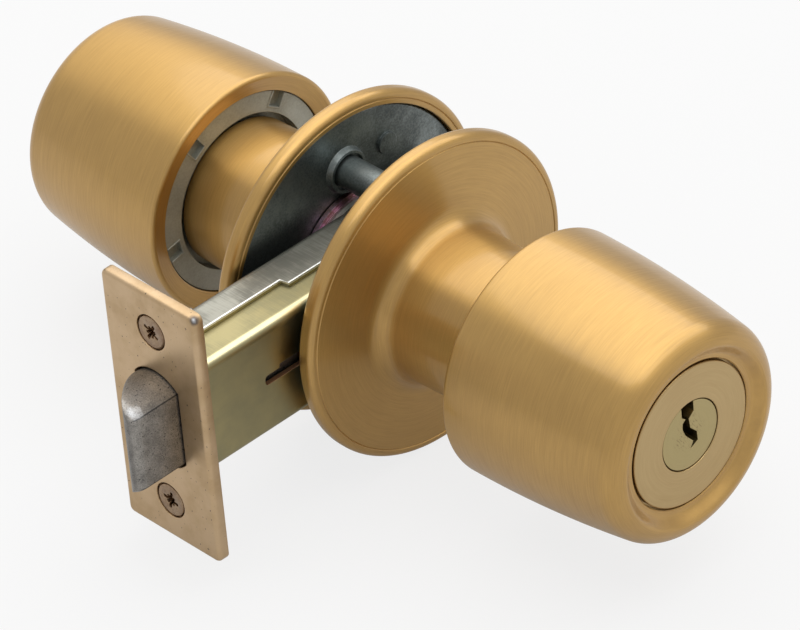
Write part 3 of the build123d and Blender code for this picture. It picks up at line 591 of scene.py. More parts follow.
def plate_brass(tint):
    """Satin brass plate with handling marks, dark specks and a bare chip at one corner."""
    g = Graph("plate_brass")
    x, y, z = g.axes(g.point)
    grain = g.grain((x, y, z), (900.0, 2600.0, 90.0))
    cloud = g.noise(g.point, 110.0, 4.0, 0.6)
    specks = g.spread(g.noise(g.point, 1500.0, 1.0, 0.4), 0.72, 0.76)
    across, along = g.plus(y, g.times(z, 0.4)), g.minus(z, y)
    marks = g.scratches(across, along, 0.12 * MM, 4 * MM, 0.68, 0.78)
    corner = (-59.5 * MM, -12.8 * MM, 28.7 * MM)
    chip = g.near(corner, 2.3 * MM, 0.8 * MM)
    bare = g.near(corner, 1.5 * MM, 0.6 * MM)
    brass = g.mix(g.spread(cloud, 0.35, 0.68), tint.brass, tint.brass_dark)
    brass = g.mix(g.times(marks, 0.25), brass, tint.bare)
    brass = g.mix(g.times(specks, 0.75), brass, tint.pore_and_shade)
    tone = g.blend(grain, cloud, 0.4)
    g.set(
        base_color=g.mix(bare, g.mix(g.times(chip, 0.9), brass, tint.chip), tint.bare),
        metallic=1.0,
        roughness=g.spread(tone, 0.3, 0.7, 0.34, 0.46),
    )
    g.bump(g.minus(g.times(grain, 0.5), specks), 0.8 * MICRON)
    return g.material


def casting(name, bright, dark, metallic, relief):
    """Mottled die-cast metal."""
    g = Graph(name)
    blotch = g.noise(g.point, 150.0, 3.0, 0.5)
    grain = g.noise(g.point, 2400.0, 3.0, 0.6)
    tone = g.blend(blotch, grain, 0.6)
    g.set(
        base_color=g.mix(g.spread(tone, 0.3, 0.7), dark, bright),
        metallic=metallic,
        roughness=g.spread(tone, 0.3, 0.7, 0.5, 0.34),
    )
    bump = g.bump(grain, relief)
    g.soften(bump, 0.18 * MM)
    return g.material


def cast_zinc(tint):
    """Dark mottled zinc of the mounting plates and the hub."""
    return casting("cast_zinc", tint.zinc, tint.zinc_dark, 1.0, 22.0 * MICRON)


def insert_zinc(tint):
    """Paler zinc of the rings in the knobs' backs."""
    return casting("insert_zinc", tint.insert, tint.insert_dark, 0.5, 8.0 * MICRON)


def sheet_steel(name, bright, dark, fold, edge, edge_from, under, edge_round, burr=0.0):
    """Plated sheet: rolling and cross marks, dull patches, a painted highlight along the folds, and
    cut edges.
    """
    g = Graph(name)
    x, y, z = g.axes(g.point)
    ny, nz = g.axes(g.normal)[1:]
    lean, level, height = g.magnitude(ny), g.magnitude(nz), g.magnitude(z)
    roll = g.grain((x, y, z), (110.0, 1900.0, 1900.0))
    cross = g.grain((x, y, z), (3200.0, 160.0, 160.0), 3.0, 0.65)
    cloud = g.noise(g.point, 130.0, 3.0, 0.5)
    on_flange = g.spread(level, 0.6, 0.95, 0.06, 0.6)
    dull = g.spread(level, 0.8, 0.98, 0.0, 0.16)
    marks = g.plus(g.times(roll, 0.12), g.times(g.minus(cross, 0.5), on_flange))
    tone = g.plus(marks, g.times(cloud, 0.88))
    # Painted highlight: on the folds, where the normal leans part way from up towards Y, the fold
    # colour is mixed over the sheet
    fold_highlight = g.times(g.spread(lean, 0.08, 0.3), g.spread(lean, 0.85, 0.6))
    sheet = g.mix(g.spread(tone, 0.3, 0.7), dark, bright)
    coat = g.mix(g.times(fold_highlight, 0.8), sheet, fold)
    # Cut edges: the faces across the sheet in the guide slot, and along the flanges
    in_web = g.spread(lean, 0.55, 0.35)
    in_slot = g.times(g.spread(height, 4.6 * MM, 4.4 * MM), g.spread(y, -6.0 * MM, -6.2 * MM))
    flange = g.times(g.spread(lean, 0.75, 0.92), g.spread(g.magnitude(y), 6.0 * MM, 5.8 * MM))
    cut = g.most(g.times(in_web, in_slot), flange)
    bright_cut = g.spread(height, edge_from, edge_from + 0.1 * MM)
    if burr:
        # A bright line along the flange's edge, which jogs towards the plate
        jog = g.spread(x, -27.3 * MM, -26.9 * MM, 0.2 * MM, -1.7 * MM)
        off = g.magnitude(g.minus(y, jog))
        cut = g.most(cut, g.times(g.spread(off, burr, 0.6 * burr), bright_cut))
    rough = g.plus(g.spread(tone, 0.3, 0.7, 0.38, 0.28), dull)
    g.set(
        base_color=g.mix(cut, coat, g.mix(bright_cut, under, edge)),
        metallic=1.0,
        roughness=g.most(rough, g.times(cut, 0.4)),
    )
    bump = g.bump(marks, 1.5 * MICRON)
    g.soften(bump, edge_round)
    return g.material


def yellow_steel(tint):
    """Yellow passivated sheet with copper cut edges and a painted highlight along its folds."""
    return sheet_steel(
        "yellow_steel",
        tint.yellow,
        tint.yellow_dark,
        tint.fold,
        edge=tint.copper,
        edge_from=-1.0 * MM,
        under=tint.copper,
        edge_round=0.14 * MM,
    )


def grey_steel(tint):
    """Zinc plated sheet with bright cut edges and a burr."""
    return sheet_steel(
        "grey_steel",
        tint.grey,
        tint.grey_dark,
        tint.grey,
        edge=tint.cut,
        edge_from=12.7 * MM,
        under=tint.yellow,
        edge_round=0.4 * MM,
        burr=0.4 * MM,
    )


def sintered_steel(tint):
    """Grainy sintered steel, rubbed bright on the bolt's top near the nose, with painted shade on
    the faces turned towards -X.
    """
    g = Graph("sintered_steel")
    grain = g.noise(g.point, 3600.0, 3.0, 0.65)
    cloud = g.noise(g.point, 300.0, 3.0, 0.6)
    pores = g.spread(g.noise(g.point, 2600.0, 2.0, 0.5), 0.36, 0.3)
    spot = (-69.3 * MM, -4.5 * MM, 8.9 * MM)
    rub = g.times(g.near(spot, 3.0 * MM, 2.4 * MM), g.spread(grain, 0.3, 0.55, 0.35, 1.0))
    # Dark line where the arched top meets the flat side
    x, y, z = g.axes(g.point)
    off = g.magnitude(g.minus(g.magnitude(z), 8.1 * MM))
    seam = g.times(g.spread(off, 0.2 * MM, 0.06 * MM), g.spread(y, -5.1 * MM, -5.4 * MM))
    tone = g.blend(grain, cloud, 0.55)
    steel = g.mix(g.spread(tone, 0.34, 0.66), tint.sinter_dark, tint.sinter)
    # Painted shade: faces turned towards -X, round the nose, are darkened towards the dark pore
    # colour
    nose = g.spread(g.axes(g.normal)[0], -0.55, -0.98, 0.0, 0.35)
    steel = g.mix(g.most(pores, nose, g.times(seam, 0.85)), steel, tint.pore_and_shade)
    g.set(
        base_color=g.mix(g.times(rub, 0.8), steel, tint.bare),
        metallic=0.95,
        roughness=g.spread(tone, 0.3, 0.7, 0.5, 0.36),
    )
    g.bump(g.minus(tone, pores), 14.0 * MICRON)
    return g.material


def plain_metal(name, bright, dark, fine, rough_low, rough_high):
    """Small metal pieces with fine marks and dull patches."""
    g = Graph(name)
    marks = g.noise(g.point, fine, 3.0, 0.6)
    cloud = g.noise(g.point, 240.0, 3.0, 0.6)
    tone = g.blend(marks, cloud, 0.45)
    g.set(
        base_color=g.mix(g.spread(tone, 0.36, 0.64), dark, bright),
        metallic=1.0,
        roughness=g.spread(tone, 0.3, 0.7, rough_high, rough_low),
    )
    bump = g.bump(tone, 6.0 * MICRON)
    g.soften(bump, 0.1 * MM)
    return g.material


def spring_steel(tint):
    """Drawn wire and blued strip."""
    return plain_metal("spring_steel", tint.wire, tint.wire_dark, 2400.0, 0.28, 0.4)


def collar_steel(tint):
    """Collars with a violet and brown bloom."""
    return plain_metal("collar_steel", tint.collar, tint.collar_dark, 900.0, 0.24, 0.4)


def screw_steel(tint):
    """Brassed screws, worn on the edges."""
    return plain_metal("screw_steel", tint.screw, tint.screw_dark, 1800.0, 0.24, 0.4)


FINISHES = (
    satin_bronze,
    cylinder_brass,
    plate_brass,
    cast_zinc,
    insert_zinc,
    yellow_steel,
    grey_steel,
    sintered_steel,
    spring_steel,
    collar_steel,
    screw_steel,
)


def material(name):
    """The finish of that name, made at its first use."""
    made = bpy.data.materials.get("knob_lock_" + name)
    if made is None:
        made = {f.__name__: f for f in FINISHES}[name](bpy.context.scene.knob_lock_colours)
        made.name = "knob_lock_" + name
    return made


# Pieces

class KNOBLOCK_OT_roses(bpy.types.Operator):
    """Spin the two roses with their rolled rims and necks"""

    bl_idname = "knob_lock.roses"
    bl_label = "Roses"

    def execute(self, context):
        s = context.scene.knob_lock_roses
        rim_in, neck_in, face = s.radius - s.rim_width, s.neck - s.sheet, s.land + s.depth
        edge = 0.3 * MM
        tip = s.neck - s.neck_taper
        crease, cut = s.radius - s.crease_in, s.crease
        rise = face + s.crown * s.crease_in / (s.radius - s.neck)
        # Radius, distance from mid-door and round of each corner
        corners = (
            (rim_in, s.land, edge),
            (crease - cut, s.land, 0.0),
            (crease, s.land + cut, 0.0),
            (crease + cut, s.land, 0.0),
            (s.radius, s.land, s.rim_round),
            (s.radius, face, s.bead_round),
            (crease + cut, rise, 0.0),
            (crease, rise - cut, 0.0),
            (crease - cut, rise, 0.0),
            (s.neck, face + s.crown, s.flare),
            (tip, s.neck_end, 0.0),
            (tip - edge, s.neck_end, 0.0),
            (neck_in, face + s.crown - s.sheet, s.flare + s.sheet),
            (rim_in, face - s.sheet, edge),
        )
        places, rounds = [corner[:2] for corner in corners], [corner[2] for corner in corners]
        outline = rounded(places, rounds, steps=10, hold=0.12 * MM)
        for side, name in SIDES:
            node = name + "_rose"
            bm = bmesh.new()
            spin(bm, outline, side)
            place(finished(node + "_spun", bm), "door_fixed", "satin_bronze", "satin_bronze", node)
        return {"FINISHED"}


class KNOBLOCK_OT_knob_shells(bpy.types.Operator):
    """Spin the two knob shells, rolled over at the back and open at the front"""

    bl_idname = "knob_lock.knob_shells"
    bl_label = "Knob shells"

    def execute(self, context):
        s = context.scene.knob_lock_knobs
        front = s.back + s.length
        face = front - s.face_depth
        under = face - s.face_plate
        lip = s.back + s.lip_round
        lip_in = s.radius - s.lip_width
        lip_low = s.back + s.lip_slope
        fold = lip_low + s.lip_edge + s.lip_fold
        edge = 0.18 * MM
        shoulder = (s.front_radius, front - s.front_round)
        barrel, heading = tangent_arc((s.radius, lip), (0, 1), shoulder, steps=48)
        crest = (s.crest, front - s.crest_drop)
        crown, heading = tangent_arc(shoulder, heading, crest, steps=22)
        rim = face - s.face_sink
        # The dish leaves the crest in line with the crown and ends flat round the opening
        width = s.crest - s.opening - s.land_width
        lean = -width * heading.y / heading.x
        dish, steps = [], 16
        for k in range(1, steps + 1):
            u = k / steps
            y = crest[1] + (rim - crest[1]) * u * u * (3 - 2 * u) + lean * u * (1 - u) ** 2
            dish.append((s.crest - width * u, y))
        inner_front = (s.front_radius - s.sheet, front - s.front_round - s.inner_step)
        inner_back = (s.radius - s.sheet, fold)
        inner = tangent_arc(inner_back, (0, 1), inner_front, steps=16)[0]
        lip_corners = [(lip_in, fold), (lip_in, lip_low), (s.radius, s.back), (s.radius, fold)]
        roll = rounded(lip_corners, [0.0, s.lip_edge, s.lip_round, 0.0], steps=8, hold=0.1 * MM)
        outline = barrel + crown + dish
        outline += [(s.opening + edge, rim), (s.opening, rim - edge)]
        outline += [(s.opening, under), (s.crest, under)]
        outline += inner[::-1] + [inner_back] + roll[:-1]
        for side, name in SIDES:
            body = name + "_knob"
            node = body + "_shell"
            bm = bmesh.new()
            spin(bm, outline, side)
            place(finished(node + "_spun", bm), body, "satin_bronze", "satin_bronze", node)
        return {"FINISHED"}


class KNOBLOCK_OT_notch_borders(bpy.types.Operator):
    """Add the thin raised borders round the notches of the knob inserts"""

    bl_idname = "knob_lock.notch_borders"
    bl_label = "Notch borders"

    def execute(self, context):
        s = context.scene.knob_lock_knobs
        root = 0.1 * MM
        inner = s.ring_radius - s.notch_length + root
        outer = s.ring_radius - root
        half = s.notch_width / 2
        edge = 0.07 * MM
        # Inset and height of each loop, from the root in the ring to the top
        shape = (
            (0.0, -root),
            (0.0, s.frame_height - edge),
            (0.3 * edge, s.frame_height - 0.3 * edge),
            (edge, s.frame_height),
        )

        def border(bm, inset, y, turn):
            """A loop round the three closed sides of a notch."""
            wide, slot = half + s.frame_width - inset, half + inset
            low, high, floor = inner - s.frame_width + inset, outer - inset, inner - inset
            corners = [(high, wide), (low, wide), (low, -wide), (high, -wide)]
            corners += [(high, -slot), (floor, -slot), (floor, slot), (high, slot)]
            return facing_y(bm, [turn @ Vector(c) for c in corners], y)

        for side, name in SIDES:
            body = name + "_knob"
            bm = bmesh.new()
            for notch in s.notch_turns:
                turn = Matrix.Rotation(notch, 2)
                loops = []
                for inset, rise in shape:
                    loops.append(border(bm, inset, side * (s.ring_back - rise), turn))
                skin(bm, loops)
                fill(bm, loops[0])
                fill(bm, loops[-1])
            place(finished(body + "_notch_borders", bm), body, "insert_zinc", "cast_zinc")
        return {"FINISHED"}


def disc_outline(cylinder, knobs, bore):
    """Outline of a disc in a knob's opening with the flange behind it, from its bore outwards."""
    face = knobs.back + knobs.length - knobs.face_depth
    under = face - knobs.face_plate - cylinder.gap
    back = face - knobs.face_plate - cylinder.flange_depth
    return face, back, [
        (bore, face),
        (cylinder.disc, face),
        (cylinder.disc, under),
        (cylinder.flange, under),
        (cylinder.flange, back),
    ]


def spin_disc(bm, outline, side):
    """Spins a disc's outline with the two edges of its face rounded."""
    rounds = [0.26 * MM, 0.36 * MM] + [0.0] * (len(outline) - 2)
    spin(bm, rounded(outline, rounds, steps=5, hold=0.1 * MM), side)


class KNOBLOCK_OT_key_cylinder(bpy.types.Operator):
    """Make the key cylinder's face, barrel and tower, and the plug with its keyway"""

    bl_idname = "knob_lock.key_cylinder"
    bl_label = "Key cylinder"

    # Keyway, open at the top of the plug, in millimetres from the plug's middle
    mouth = (-1.9, 1.3)
    wards = (
        (1.3, 4.9),
        (-0.1, 3.8),
        (0.2, 1.5),
        (1.8, -0.2),
        (1.95, -2.3),
        (-0.15, -3.25),
        (0.75, -1.8),
        (-1.2, 0.5),
        (-1.85, 2.3),
        (-1.75, 3.5),
        (-0.95, 4.1),
        (-1.9, 4.9),
    )

    def plug_outline(self, radius):
        """A circle with the keyway let into its top."""
        left, right = (x * MM for x in self.mouth)
        start = math.atan2(math.sqrt(radius**2 - left**2), left)
        end = math.atan2(math.sqrt(radius**2 - right**2), right) + 2 * math.pi
        count = 120
        rim = []
        for k in range(count + 1):
            t = start + (end - start) * k / count
            rim.append((radius * math.cos(t), radius * math.sin(t)))
        return rim + [(x * MM, z * MM) for x, z in self.wards]

    def execute(self, context):
        s = context.scene.knob_lock_cylinder
        face, back, outline = disc_outline(s, context.scene.knob_lock_knobs, s.head + s.head_gap)
        plug_face = face - s.plug_inset
        plug_step = plug_face - s.head_depth
        seat = plug_step - s.gap
        bore = s.plug + s.running
        outline += [
            (s.barrel, back),
            (s.barrel, s.barrel_end),
            (s.tail_bore, s.barrel_end),
            (s.tail_bore, s.barrel_end + s.tail_depth),
            (bore, s.barrel_end + s.tail_depth),
            (bore, seat),
            (s.head + s.head_gap, seat),
        ]
        bm = bmesh.new()
        spin_disc(bm, outline, -1)
        half = s.tower_width / 2
        block(bm, (-half, -back, s.tower_low), (half, s.tower_length - back, s.tower_top))
        piece = finished("cylinder_face", bm)
        place(piece, "outside_knob", "cylinder_brass", "cylinder_brass", "cylinder_body")

        bm = bmesh.new()
        bevel = 0.12 * MM
        head = [
            facing_y(bm, self.plug_outline(s.head - d), -plug_face + h)
            for d, h in ((3 * bevel, 0.0), (bevel, 0.0), (0.3 * bevel, 0.3 * bevel), (0.0, bevel))
        ]
        head.append(facing_y(bm, self.plug_outline(s.head), -plug_step))
        deep = face - s.keyway_length
        body = [facing_y(bm, self.plug_outline(s.plug), -y) for y in (plug_step, deep)]
        fill(bm, head[0])
        skin(bm, head + body)
        fill(bm, body[1])
        groove = s.plug - s.groove
        tail = [
            (0.0, deep),
            (s.plug, deep),
            (s.plug, s.groove_to),
            (groove, s.groove_to),
            (groove, s.groove_from),
            (s.plug, s.groove_from),
            (s.plug, s.plug_end),
            (0.0, s.plug_end),
        ]
        spin(bm, tail, -1, turns=96)
        piece = finished("plug_with_keyway", bm)
        place(piece, "key_plug", "cylinder_brass", "cylinder_brass", "cylinder_plug")
        return {"FINISHED"}


class KNOBLOCK_OT_end_plate(bpy.types.Operator):
    """Make the disc that closes the inside knob round the turn button"""

    bl_idname = "knob_lock.end_plate"
    bl_label = "Inside end plate"

    def execute(self, context):
        s = context.scene.knob_lock_cylinder
        face, back, outline = disc_outline(s, context.scene.knob_lock_knobs, s.button)
        seat = face - s.button_seat
        outline += [(s.button_stem, back), (s.button_stem, seat), (s.button, seat)]
        bm = bmesh.new()
        spin_disc(bm, outline, 1)
        piece = finished("end_plate_spun", bm)
        place(piece, "inside_knob", "satin_bronze", "satin_bronze", "inside_end_plate")
        return {"FINISHED"}


class KNOBLOCK_OT_face_plate(bpy.types.Operator):
    """Press the face plate: round edges, arched opening, countersinks and a knocked corner"""

    bl_idname = "knob_lock.face_plate"
    bl_label = "Face plate"

    def execute(self, context):
        s = context.scene.knob_lock_latch
        front, back = -s.backset, -s.backset + s.plate_depth
        hold = 0.2 * MM
        lip = 0.22 * MM
        least_corner = 0.4 * MM
        steps = 7
        bm = bmesh.new()

        def border(inset, x):
            half_w, half_h = s.plate_width / 2 - inset, s.plate_height / 2 - inset
            corners = [(half_w, half_h), (-half_w, half_h), (-half_w, -half_h), (half_w, -half_h)]
            radius = max(s.plate_corner - inset, least_corner)
            return facing_x(bm, rounded(corners, [radius] * 4, steps=8), x)

        def opening(out, x):
            gap = s.bolt_gap + out
            outline = arched(s.bolt_width + 2 * gap, s.bolt_side + gap, s.bolt_rise + gap / 2)
            return facing_x(bm, outline, x)

        def curl(loop, radius, turns):
            """Loops of a rounded edge, from the front to its side."""
            insets = [radius * (1 - math.cos(t)) for t in turns]
            depths = [radius * (1 - math.sin(t)) for t in turns]
            return [loop(inset, front + depth) for inset, depth in zip(insets, depths)]

        turns = [math.pi / 2 * k / steps for k in reversed(range(steps + 1))]
        edge = [border(s.plate_edge + hold, front)] + curl(border, s.plate_edge, turns)
        edge += [border(0.0, back - lip), border(0.3 * lip, back - 0.3 * lip)]
        edge += [border(lip, back), border(lip + hold, back)]
        hole = [opening(lip + hold, front)] + curl(opening, lip, turns[1::2])
        hole += [opening(0.0, back)]
        sinks, count = [], 56
        rim, bore = s.screw_head + 0.1 * MM, s.screw_radius + 0.2 * MM
        mouth, wall = 0.1 * MM, 0.6 * MM
        for end in (1, -1):
            middle = (0.0, end * s.screw_height)
            aside = (-s.screw_aside, end * s.screw_height + s.screw_aside)
            shape = (
                (rim + mouth + hold, front, aside),
                (rim + mouth, front, aside),
                (rim + 0.3 * mouth, front + 0.4 * mouth, aside),
                (rim, front + 1.2 * mouth, aside),
                (rim, front + wall, aside),
                (bore, front + wall + rim - bore, middle),
                (bore, back, middle),
            )
            sinks.append([facing_x(bm, circle(r, count, spot), x) for r, x, spot in shape])
        skin(bm, edge, hole, *sinks)
        fill(bm, edge[0], hole[0], *[loops[0] for loops in sinks])
        fill(bm, edge[-1], hole[-1], *[loops[-1] for loops in sinks])
        # The corner that took a knock: its edge is pushed back a little
        corner = Vector((front, -s.plate_width / 2, s.plate_height / 2))
        knock, reach = Vector((0.12, 0.1, -0.14)) * MM, 1.6 * s.chip
        for vert in bm.verts:
            near = 1 - (vert.co - corner).length / reach
            if near > 0:
                vert.co += knock * near
        piece = finished("face_plate_pressed", bm)
        place(piece, "door_fixed", "plate_brass", "plate_brass", "face_plate")
        return {"FINISHED"}


class KNOBLOCK_OT_plate_screws(bpy.types.Operator):
    """Make the two countersunk face plate screws with their star recesses"""

    bl_idname = "knob_lock.plate_screws"
    bl_label = "Face plate screws"

    def execute(self, context):
        s = context.scene.knob_lock_latch
        top = -s.backset + s.screw_gap
        end = top + s.screw_length
        thread = -s.backset + s.plate_depth + 0.3 * MM
        neck = s.screw_radius + 0.1 * MM
        head = s.screw_head + 0.1 * MM - s.screw_ring
        point, wall = 1.0 * MM, 0.4 * MM
        short_arm, count = 0.66, 48
        bm = bmesh.new()

        def star(grow, middle, turn):
            """Four long and four short arms."""
            width = s.recess_width / 2 + grow
            arm = math.pi / 4
            inner = width / math.sin(arm / 2)
            corner = (inner * math.cos(arm / 2), inner * math.sin(arm / 2))
            outline, radii = [], []
            for k in range(8):
                length = s.recess_length / 2 * (short_arm if k % 2 else 1.0) + grow
                swing = Matrix.Rotation(turn + arm * k, 2)
                points = [(length, -width), (length, width), corner]
                outline += [tuple(swing @ Vector(p) + Vector(middle)) for p in points]
                radii += [0.6 * width, 0.6 * width, 0.05 * MM]
            return rounded(outline, radii, steps=3)

        for sign, turn in ((1, 0.5), (-1, 0.2)):
            middle = (0.0, sign * s.screw_height)
            shape = (
                (head - 0.4 * MM, top),
                (head - 0.16 * MM, top + 0.02 * MM),
                (head - 0.05 * MM, top + 0.09 * MM),
                (head, top + 0.2 * MM),
                (head, top + wall),
                (neck, top + wall + head - neck),
                (neck, thread),
                (s.screw_radius, thread),
                (s.screw_radius, end - point),
                (s.screw_radius - point, end),
            )
            rings = [facing_x(bm, circle(r, count, middle), x) for r, x in shape]
            recess = [
                facing_x(bm, star(0.1 * MM, middle, turn), top),
                facing_x(bm, star(0.03 * MM, middle, turn), top + 0.04 * MM),
                facing_x(bm, star(0.0, middle, turn), top + 0.15 * MM),
                facing_x(bm, star(-0.1 * MM, middle, turn), top + s.recess_depth),
            ]
            skin(bm, rings, recess)
            fill(bm, rings[0], recess[0])
            fill(bm, recess[-1])
            fill(bm, rings[-1])
        piece = finished("screws_with_recess", bm)
        place(piece, "door_fixed", "screw_steel", "yellow_steel", "face_plate_screws")
        return {"FINISHED"}


class KNOBLOCK_OT_latch_bolt(bpy.types.Operator):
    """Loft the arched bolt with its bevel, rounded edges and spring bore"""

    bl_idname = "knob_lock.latch_bolt"
    bl_label = "Latch bolt"

    def execute(self, context):
        s = context.scene.knob_lock_latch
        half_w, half_h = s.bolt_width / 2, s.bolt_side / 2
        bulge = (half_w**2 + s.bolt_rise**2) / (2 * s.bolt_rise)
        foot, nose = -s.backset - 0.3 * MM, -s.bolt_nose
        nose_y = -half_w + s.nose_width
        stations = 26
        bends = 9
        steps = 16

        def section(x, inset):
            """Outline at one x, its far side along the bevel and all its sides in by the inset."""
            t = max(0.0, (x - foot) / (nose - foot))
            bow = s.bevel_bow * math.sin(math.pi * t)
            near, far = -half_w + inset, half_w + (nose_y - half_w) * t + bow - inset
            top = []
            for k in range(steps + 1):
                y = near + (far - near) * k / steps
                top.append((y, half_h + s.bolt_rise - bulge + math.sqrt(bulge**2 - y**2) - inset))
            radii = [0.0] * (steps + 1)
            radii[0] = radii[-1] = min(s.bolt_edge, 0.4 * (far - near) / steps)
            outline = top + [(y, -z) for y, z in reversed(top)]
            return facing_x(bm, rounded(outline, radii + radii, steps=3), x)

        bm = bmesh.new()
        start = nose + s.nose_round
        loops = [section(-s.bolt_rear, 0.0)]
        loops += [section(foot + (start - foot) * k / stations, 0.0) for k in range(stations)]
        for k in range(bends + 1):
            t = math.pi / 2 * k / bends
            inset = s.nose_inset * (1 - math.cos(t))
            loops.append(section(start - s.nose_round * math.sin(t), inset))
        skin(bm, loops)
        fill(bm, loops[-1])
        hole = circle(s.bore, 40, (s.spring_y, 0.0))
        ends = (-s.bolt_rear, -s.bolt_rear - s.bore_depth)
        bore = [facing_x(bm, hole, x) for x in ends]
        skin(bm, bore)
        fill(bm, bore[1])
        fill(bm, loops[0], bore[0])
        piece = finished("bolt_lofted", bm, sharp=38.0)
        place(piece, "bolt", "sintered_steel", "sintered_steel", "latch_bolt")
        return {"FINISHED"}


class KNOBLOCK_OT_bolt_spring(bpy.types.Operator):
    """Wind the bolt's coil spring"""

    bl_idname = "knob_lock.bolt_spring"
    bl_label = "Bolt spring"

    def execute(self, context):
        s = context.scene.knob_lock_latch
        turns, per_turn, sides = 9, 30, 12
        start, end = -s.spring_from, -s.spring_to
        bm = bmesh.new()
        rings = []
        for k in range(turns * per_turn + 1):
            t = 2 * math.pi * k / per_turn
            out = Vector((0.0, math.cos(t), math.sin(t)))
            x = start + (end - start) * k / (turns * per_turn)
            middle = Vector((x, s.spring_y, 0.0)) + out * s.spring_radius
            ring = []
            for j in range(sides):
                a = 2 * math.pi * j / sides
                spoke = out * math.cos(a) + Vector((1, 0, 0)) * math.sin(a)
                ring.append(bm.verts.new(middle + s.wire * spoke))
            rings.append(ring)
        skin(bm, rings)
        fill(bm, rings[0])
        fill(bm, rings[-1])
        piece = finished("spring_wound", bm)
        spring = place(piece, "door_fixed", "spring_steel", "spring_steel", "bolt_spring")
        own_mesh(spring)
        return {"FINISHED"}


class KNOBLOCK_OT_frame_finishes(bpy.types.Operator):
    """Give the CAD pieces that stay as they are their finishes"""

    bl_idname = "knob_lock.frame_finishes"
    bl_label = "Finishes of the other pieces"

    wears = {
        "satin_bronze": ("turn_button",),
        "cylinder_brass": ("key_pins", "driver_pins"),
        "cast_zinc": ("outside_mount_plate", "inside_mount_plate", "latch_hub"),
        "insert_zinc": ("outside_knob_insert", "inside_knob_insert"),
        "yellow_steel": ("case_near_half", "bolt_tail"),
        "grey_steel": ("case_far_half", "case_rivets"),
        "collar_steel": ("outside_knob_clip", "inside_knob_clip"),
        "screw_steel": ("fixing_screws",),
        "spring_steel": (
            "pin_springs",
            "plug_clip",
            "button_clip",
            "tailpiece",
            "tail_pins",
            "spindle",
        ),
    }

    def execute(self, context):
        for finish, nodes in self.wears.items():
            for node in nodes:
                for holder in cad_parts[node].material_slots:
                    holder.material = material(finish)
        return {"FINISHED"}


class KNOBLOCK_OT_stage(bpy.types.Operator):
    """Set the floor, the soft light, the surround and the camera"""

    bl_idname = "knob_lock.stage"
    bl_label = "Stage"

    # Half width of the floor, and place and size of the light, in metres
    floor_half = 4.0
    key_place = (0.27, 0.07, 0.96)
    key_size = (1.65, 1.9)

    def execute(self, context):
        scene = context.scene
        s = scene.knob_lock_studio
        scene.view_settings.view_transform = "Standard"

        # Floor, just under the lowest point
        low = CAD_BOX[0].z - 0.1 * MM
        bm = bmesh.new()
        bmesh.ops.create_grid(bm, x_segments=1, y_segments=1, size=self.floor_half)
        bmesh.ops.translate(bm, vec=(0, 0, low), verts=bm.verts)
        floor = finished("studio_floor", bm)
        paint = Graph("studio_floor")
        paint.set(base_color=scene.knob_lock_colours.floor, roughness=0.9, specular_ior_level=0.0)
        # The camera sees mostly plain white, so the shadow stays faint; reflections see less of it
        path = paint.nodes.new("ShaderNodeLightPath").outputs
        mirrored = paint.most(path["Is Glossy Ray"], path["Is Transmission Ray"])
        share = paint.times(path["Is Camera Ray"], s.floor_white)
        share = paint.most(share, paint.times(mirrored, s.floor_mirrored))
        white = paint.nodes.new("ShaderNodeEmission")
        both = paint.nodes.new("ShaderNodeMixShader")
        paint.put(both.inputs[0], share)
        paint.put(both.inputs[1], paint.shader.outputs[0])
        paint.put(both.inputs[2], white.outputs[0])
        paint.put(paint.nodes["Material Output"].inputs["Surface"], both.outputs[0])
        floor.data.materials.append(paint.material)

        world = bpy.data.worlds.new("studio_world")
        world.use_nodes = True
        surround = world.node_tree.nodes["Background"].inputs
        surround["Color"].default_value = (1.0, 1.0, 1.0, 1.0)
        surround["Strength"].default_value = s.world
        scene.world = world

        # Long soft light overhead, along the spindle
        light = bpy.data.lights.new("soft_key", "AREA")
        light.shape = "RECTANGLE"
        light.size, light.size_y = self.key_size
        light.energy = s.key_power
        key = bpy.data.objects.new("soft_key", light)
        key.location = Vector(self.key_place)
        key.rotation_euler = key.location.to_track_quat("Z", "Y").to_euler()
        scene.collection.objects.link(key)

        # Camera at the photograph's place
        ca, sa = math.cos(s.azimuth), math.sin(s.azimuth)
        ce, se = math.cos(s.elevation), math.sin(s.elevation)
        back = Vector((sa * ce, -ca * ce, se))
        right = Vector((ca, sa, 0.0))
        up = back.cross(right)
        across = right * math.cos(s.roll) + up * math.sin(s.roll)
        upright = up * math.cos(s.roll) - right * math.sin(s.roll)
        lens = bpy.data.cameras.new("camera")
        lens.sensor_width = 36.0
        lens.lens = s.scale * s.distance * lens.sensor_width
        lens.clip_end = 100.0
        camera = bpy.data.objects.new("camera", lens)
        pose = Matrix((across, upright, back)).transposed().to_4x4()
        pose.translation = across * s.aim_right + upright * s.aim_up + back * s.distance
        camera.matrix_world = pose
        scene.collection.objects.link(camera)
        scene.camera = camera
        return {"FINISHED"}


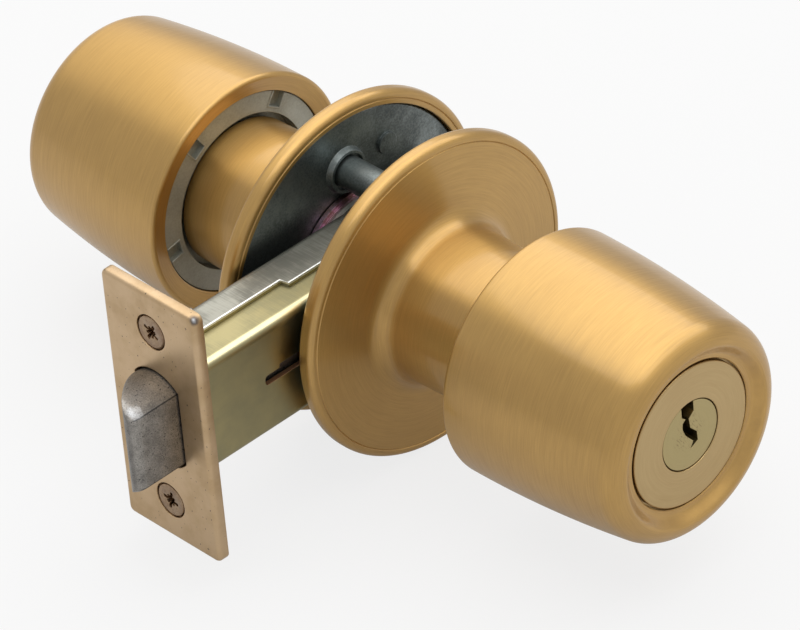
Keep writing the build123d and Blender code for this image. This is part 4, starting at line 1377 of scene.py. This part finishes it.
STEPS = (
    KNOBLOCK_OT_roses,
    KNOBLOCK_OT_knob_shells,
    KNOBLOCK_OT_notch_borders,
    KNOBLOCK_OT_key_cylinder,
    KNOBLOCK_OT_end_plate,
    KNOBLOCK_OT_face_plate,
    KNOBLOCK_OT_plate_screws,
    KNOBLOCK_OT_latch_bolt,
    KNOBLOCK_OT_bolt_spring,
    KNOBLOCK_OT_frame_finishes,
    KNOBLOCK_OT_stage,
)

GROUPS = {
    "knob_lock_roses": KnobLockRoseSizes,
    "knob_lock_knobs": KnobLockKnobSizes,
    "knob_lock_cylinder": KnobLockCylinderSizes,
    "knob_lock_latch": KnobLockLatchSizes,
    "knob_lock_colours": KnobLockColours,
    "knob_lock_studio": KnobLockStudio,
}


class KNOBLOCK_PT_panel(bpy.types.Panel):
    """Steps that build the lock's looks"""

    bl_idname = "KNOBLOCK_PT_panel"
    bl_label = "Keyed knob lock"
    bl_space_type = "VIEW_3D"
    bl_region_type = "UI"
    bl_category = "Knob Lock"

    def draw(self, context):
        for step in STEPS:
            self.layout.operator(step.bl_idname)


def register():
    """Adds the classes and the scene's settings."""
    for name, group in GROUPS.items():
        bpy.utils.register_class(group)
        setattr(bpy.types.Scene, name, bpy.props.PointerProperty(type=group))
    for step in (*STEPS, KNOBLOCK_PT_panel):
        bpy.utils.register_class(step)


def unregister():
    """Takes them away again."""
    for step in (KNOBLOCK_PT_panel, *reversed(STEPS)):
        bpy.utils.unregister_class(step)
    for name, group in reversed(GROUPS.items()):
        delattr(bpy.types.Scene, name)
        bpy.utils.unregister_class(group)


def main():
    """Builds everything in order."""
    register()
    bpy.ops.knob_lock.roses()
    bpy.ops.knob_lock.knob_shells()
    bpy.ops.knob_lock.notch_borders()
    bpy.ops.knob_lock.key_cylinder()
    bpy.ops.knob_lock.end_plate()
    bpy.ops.knob_lock.face_plate()
    bpy.ops.knob_lock.plate_screws()
    bpy.ops.knob_lock.latch_bolt()
    bpy.ops.knob_lock.bolt_spring()
    bpy.ops.knob_lock.frame_finishes()
    bpy.ops.knob_lock.stage()


if __name__ == "__main__":
    main()
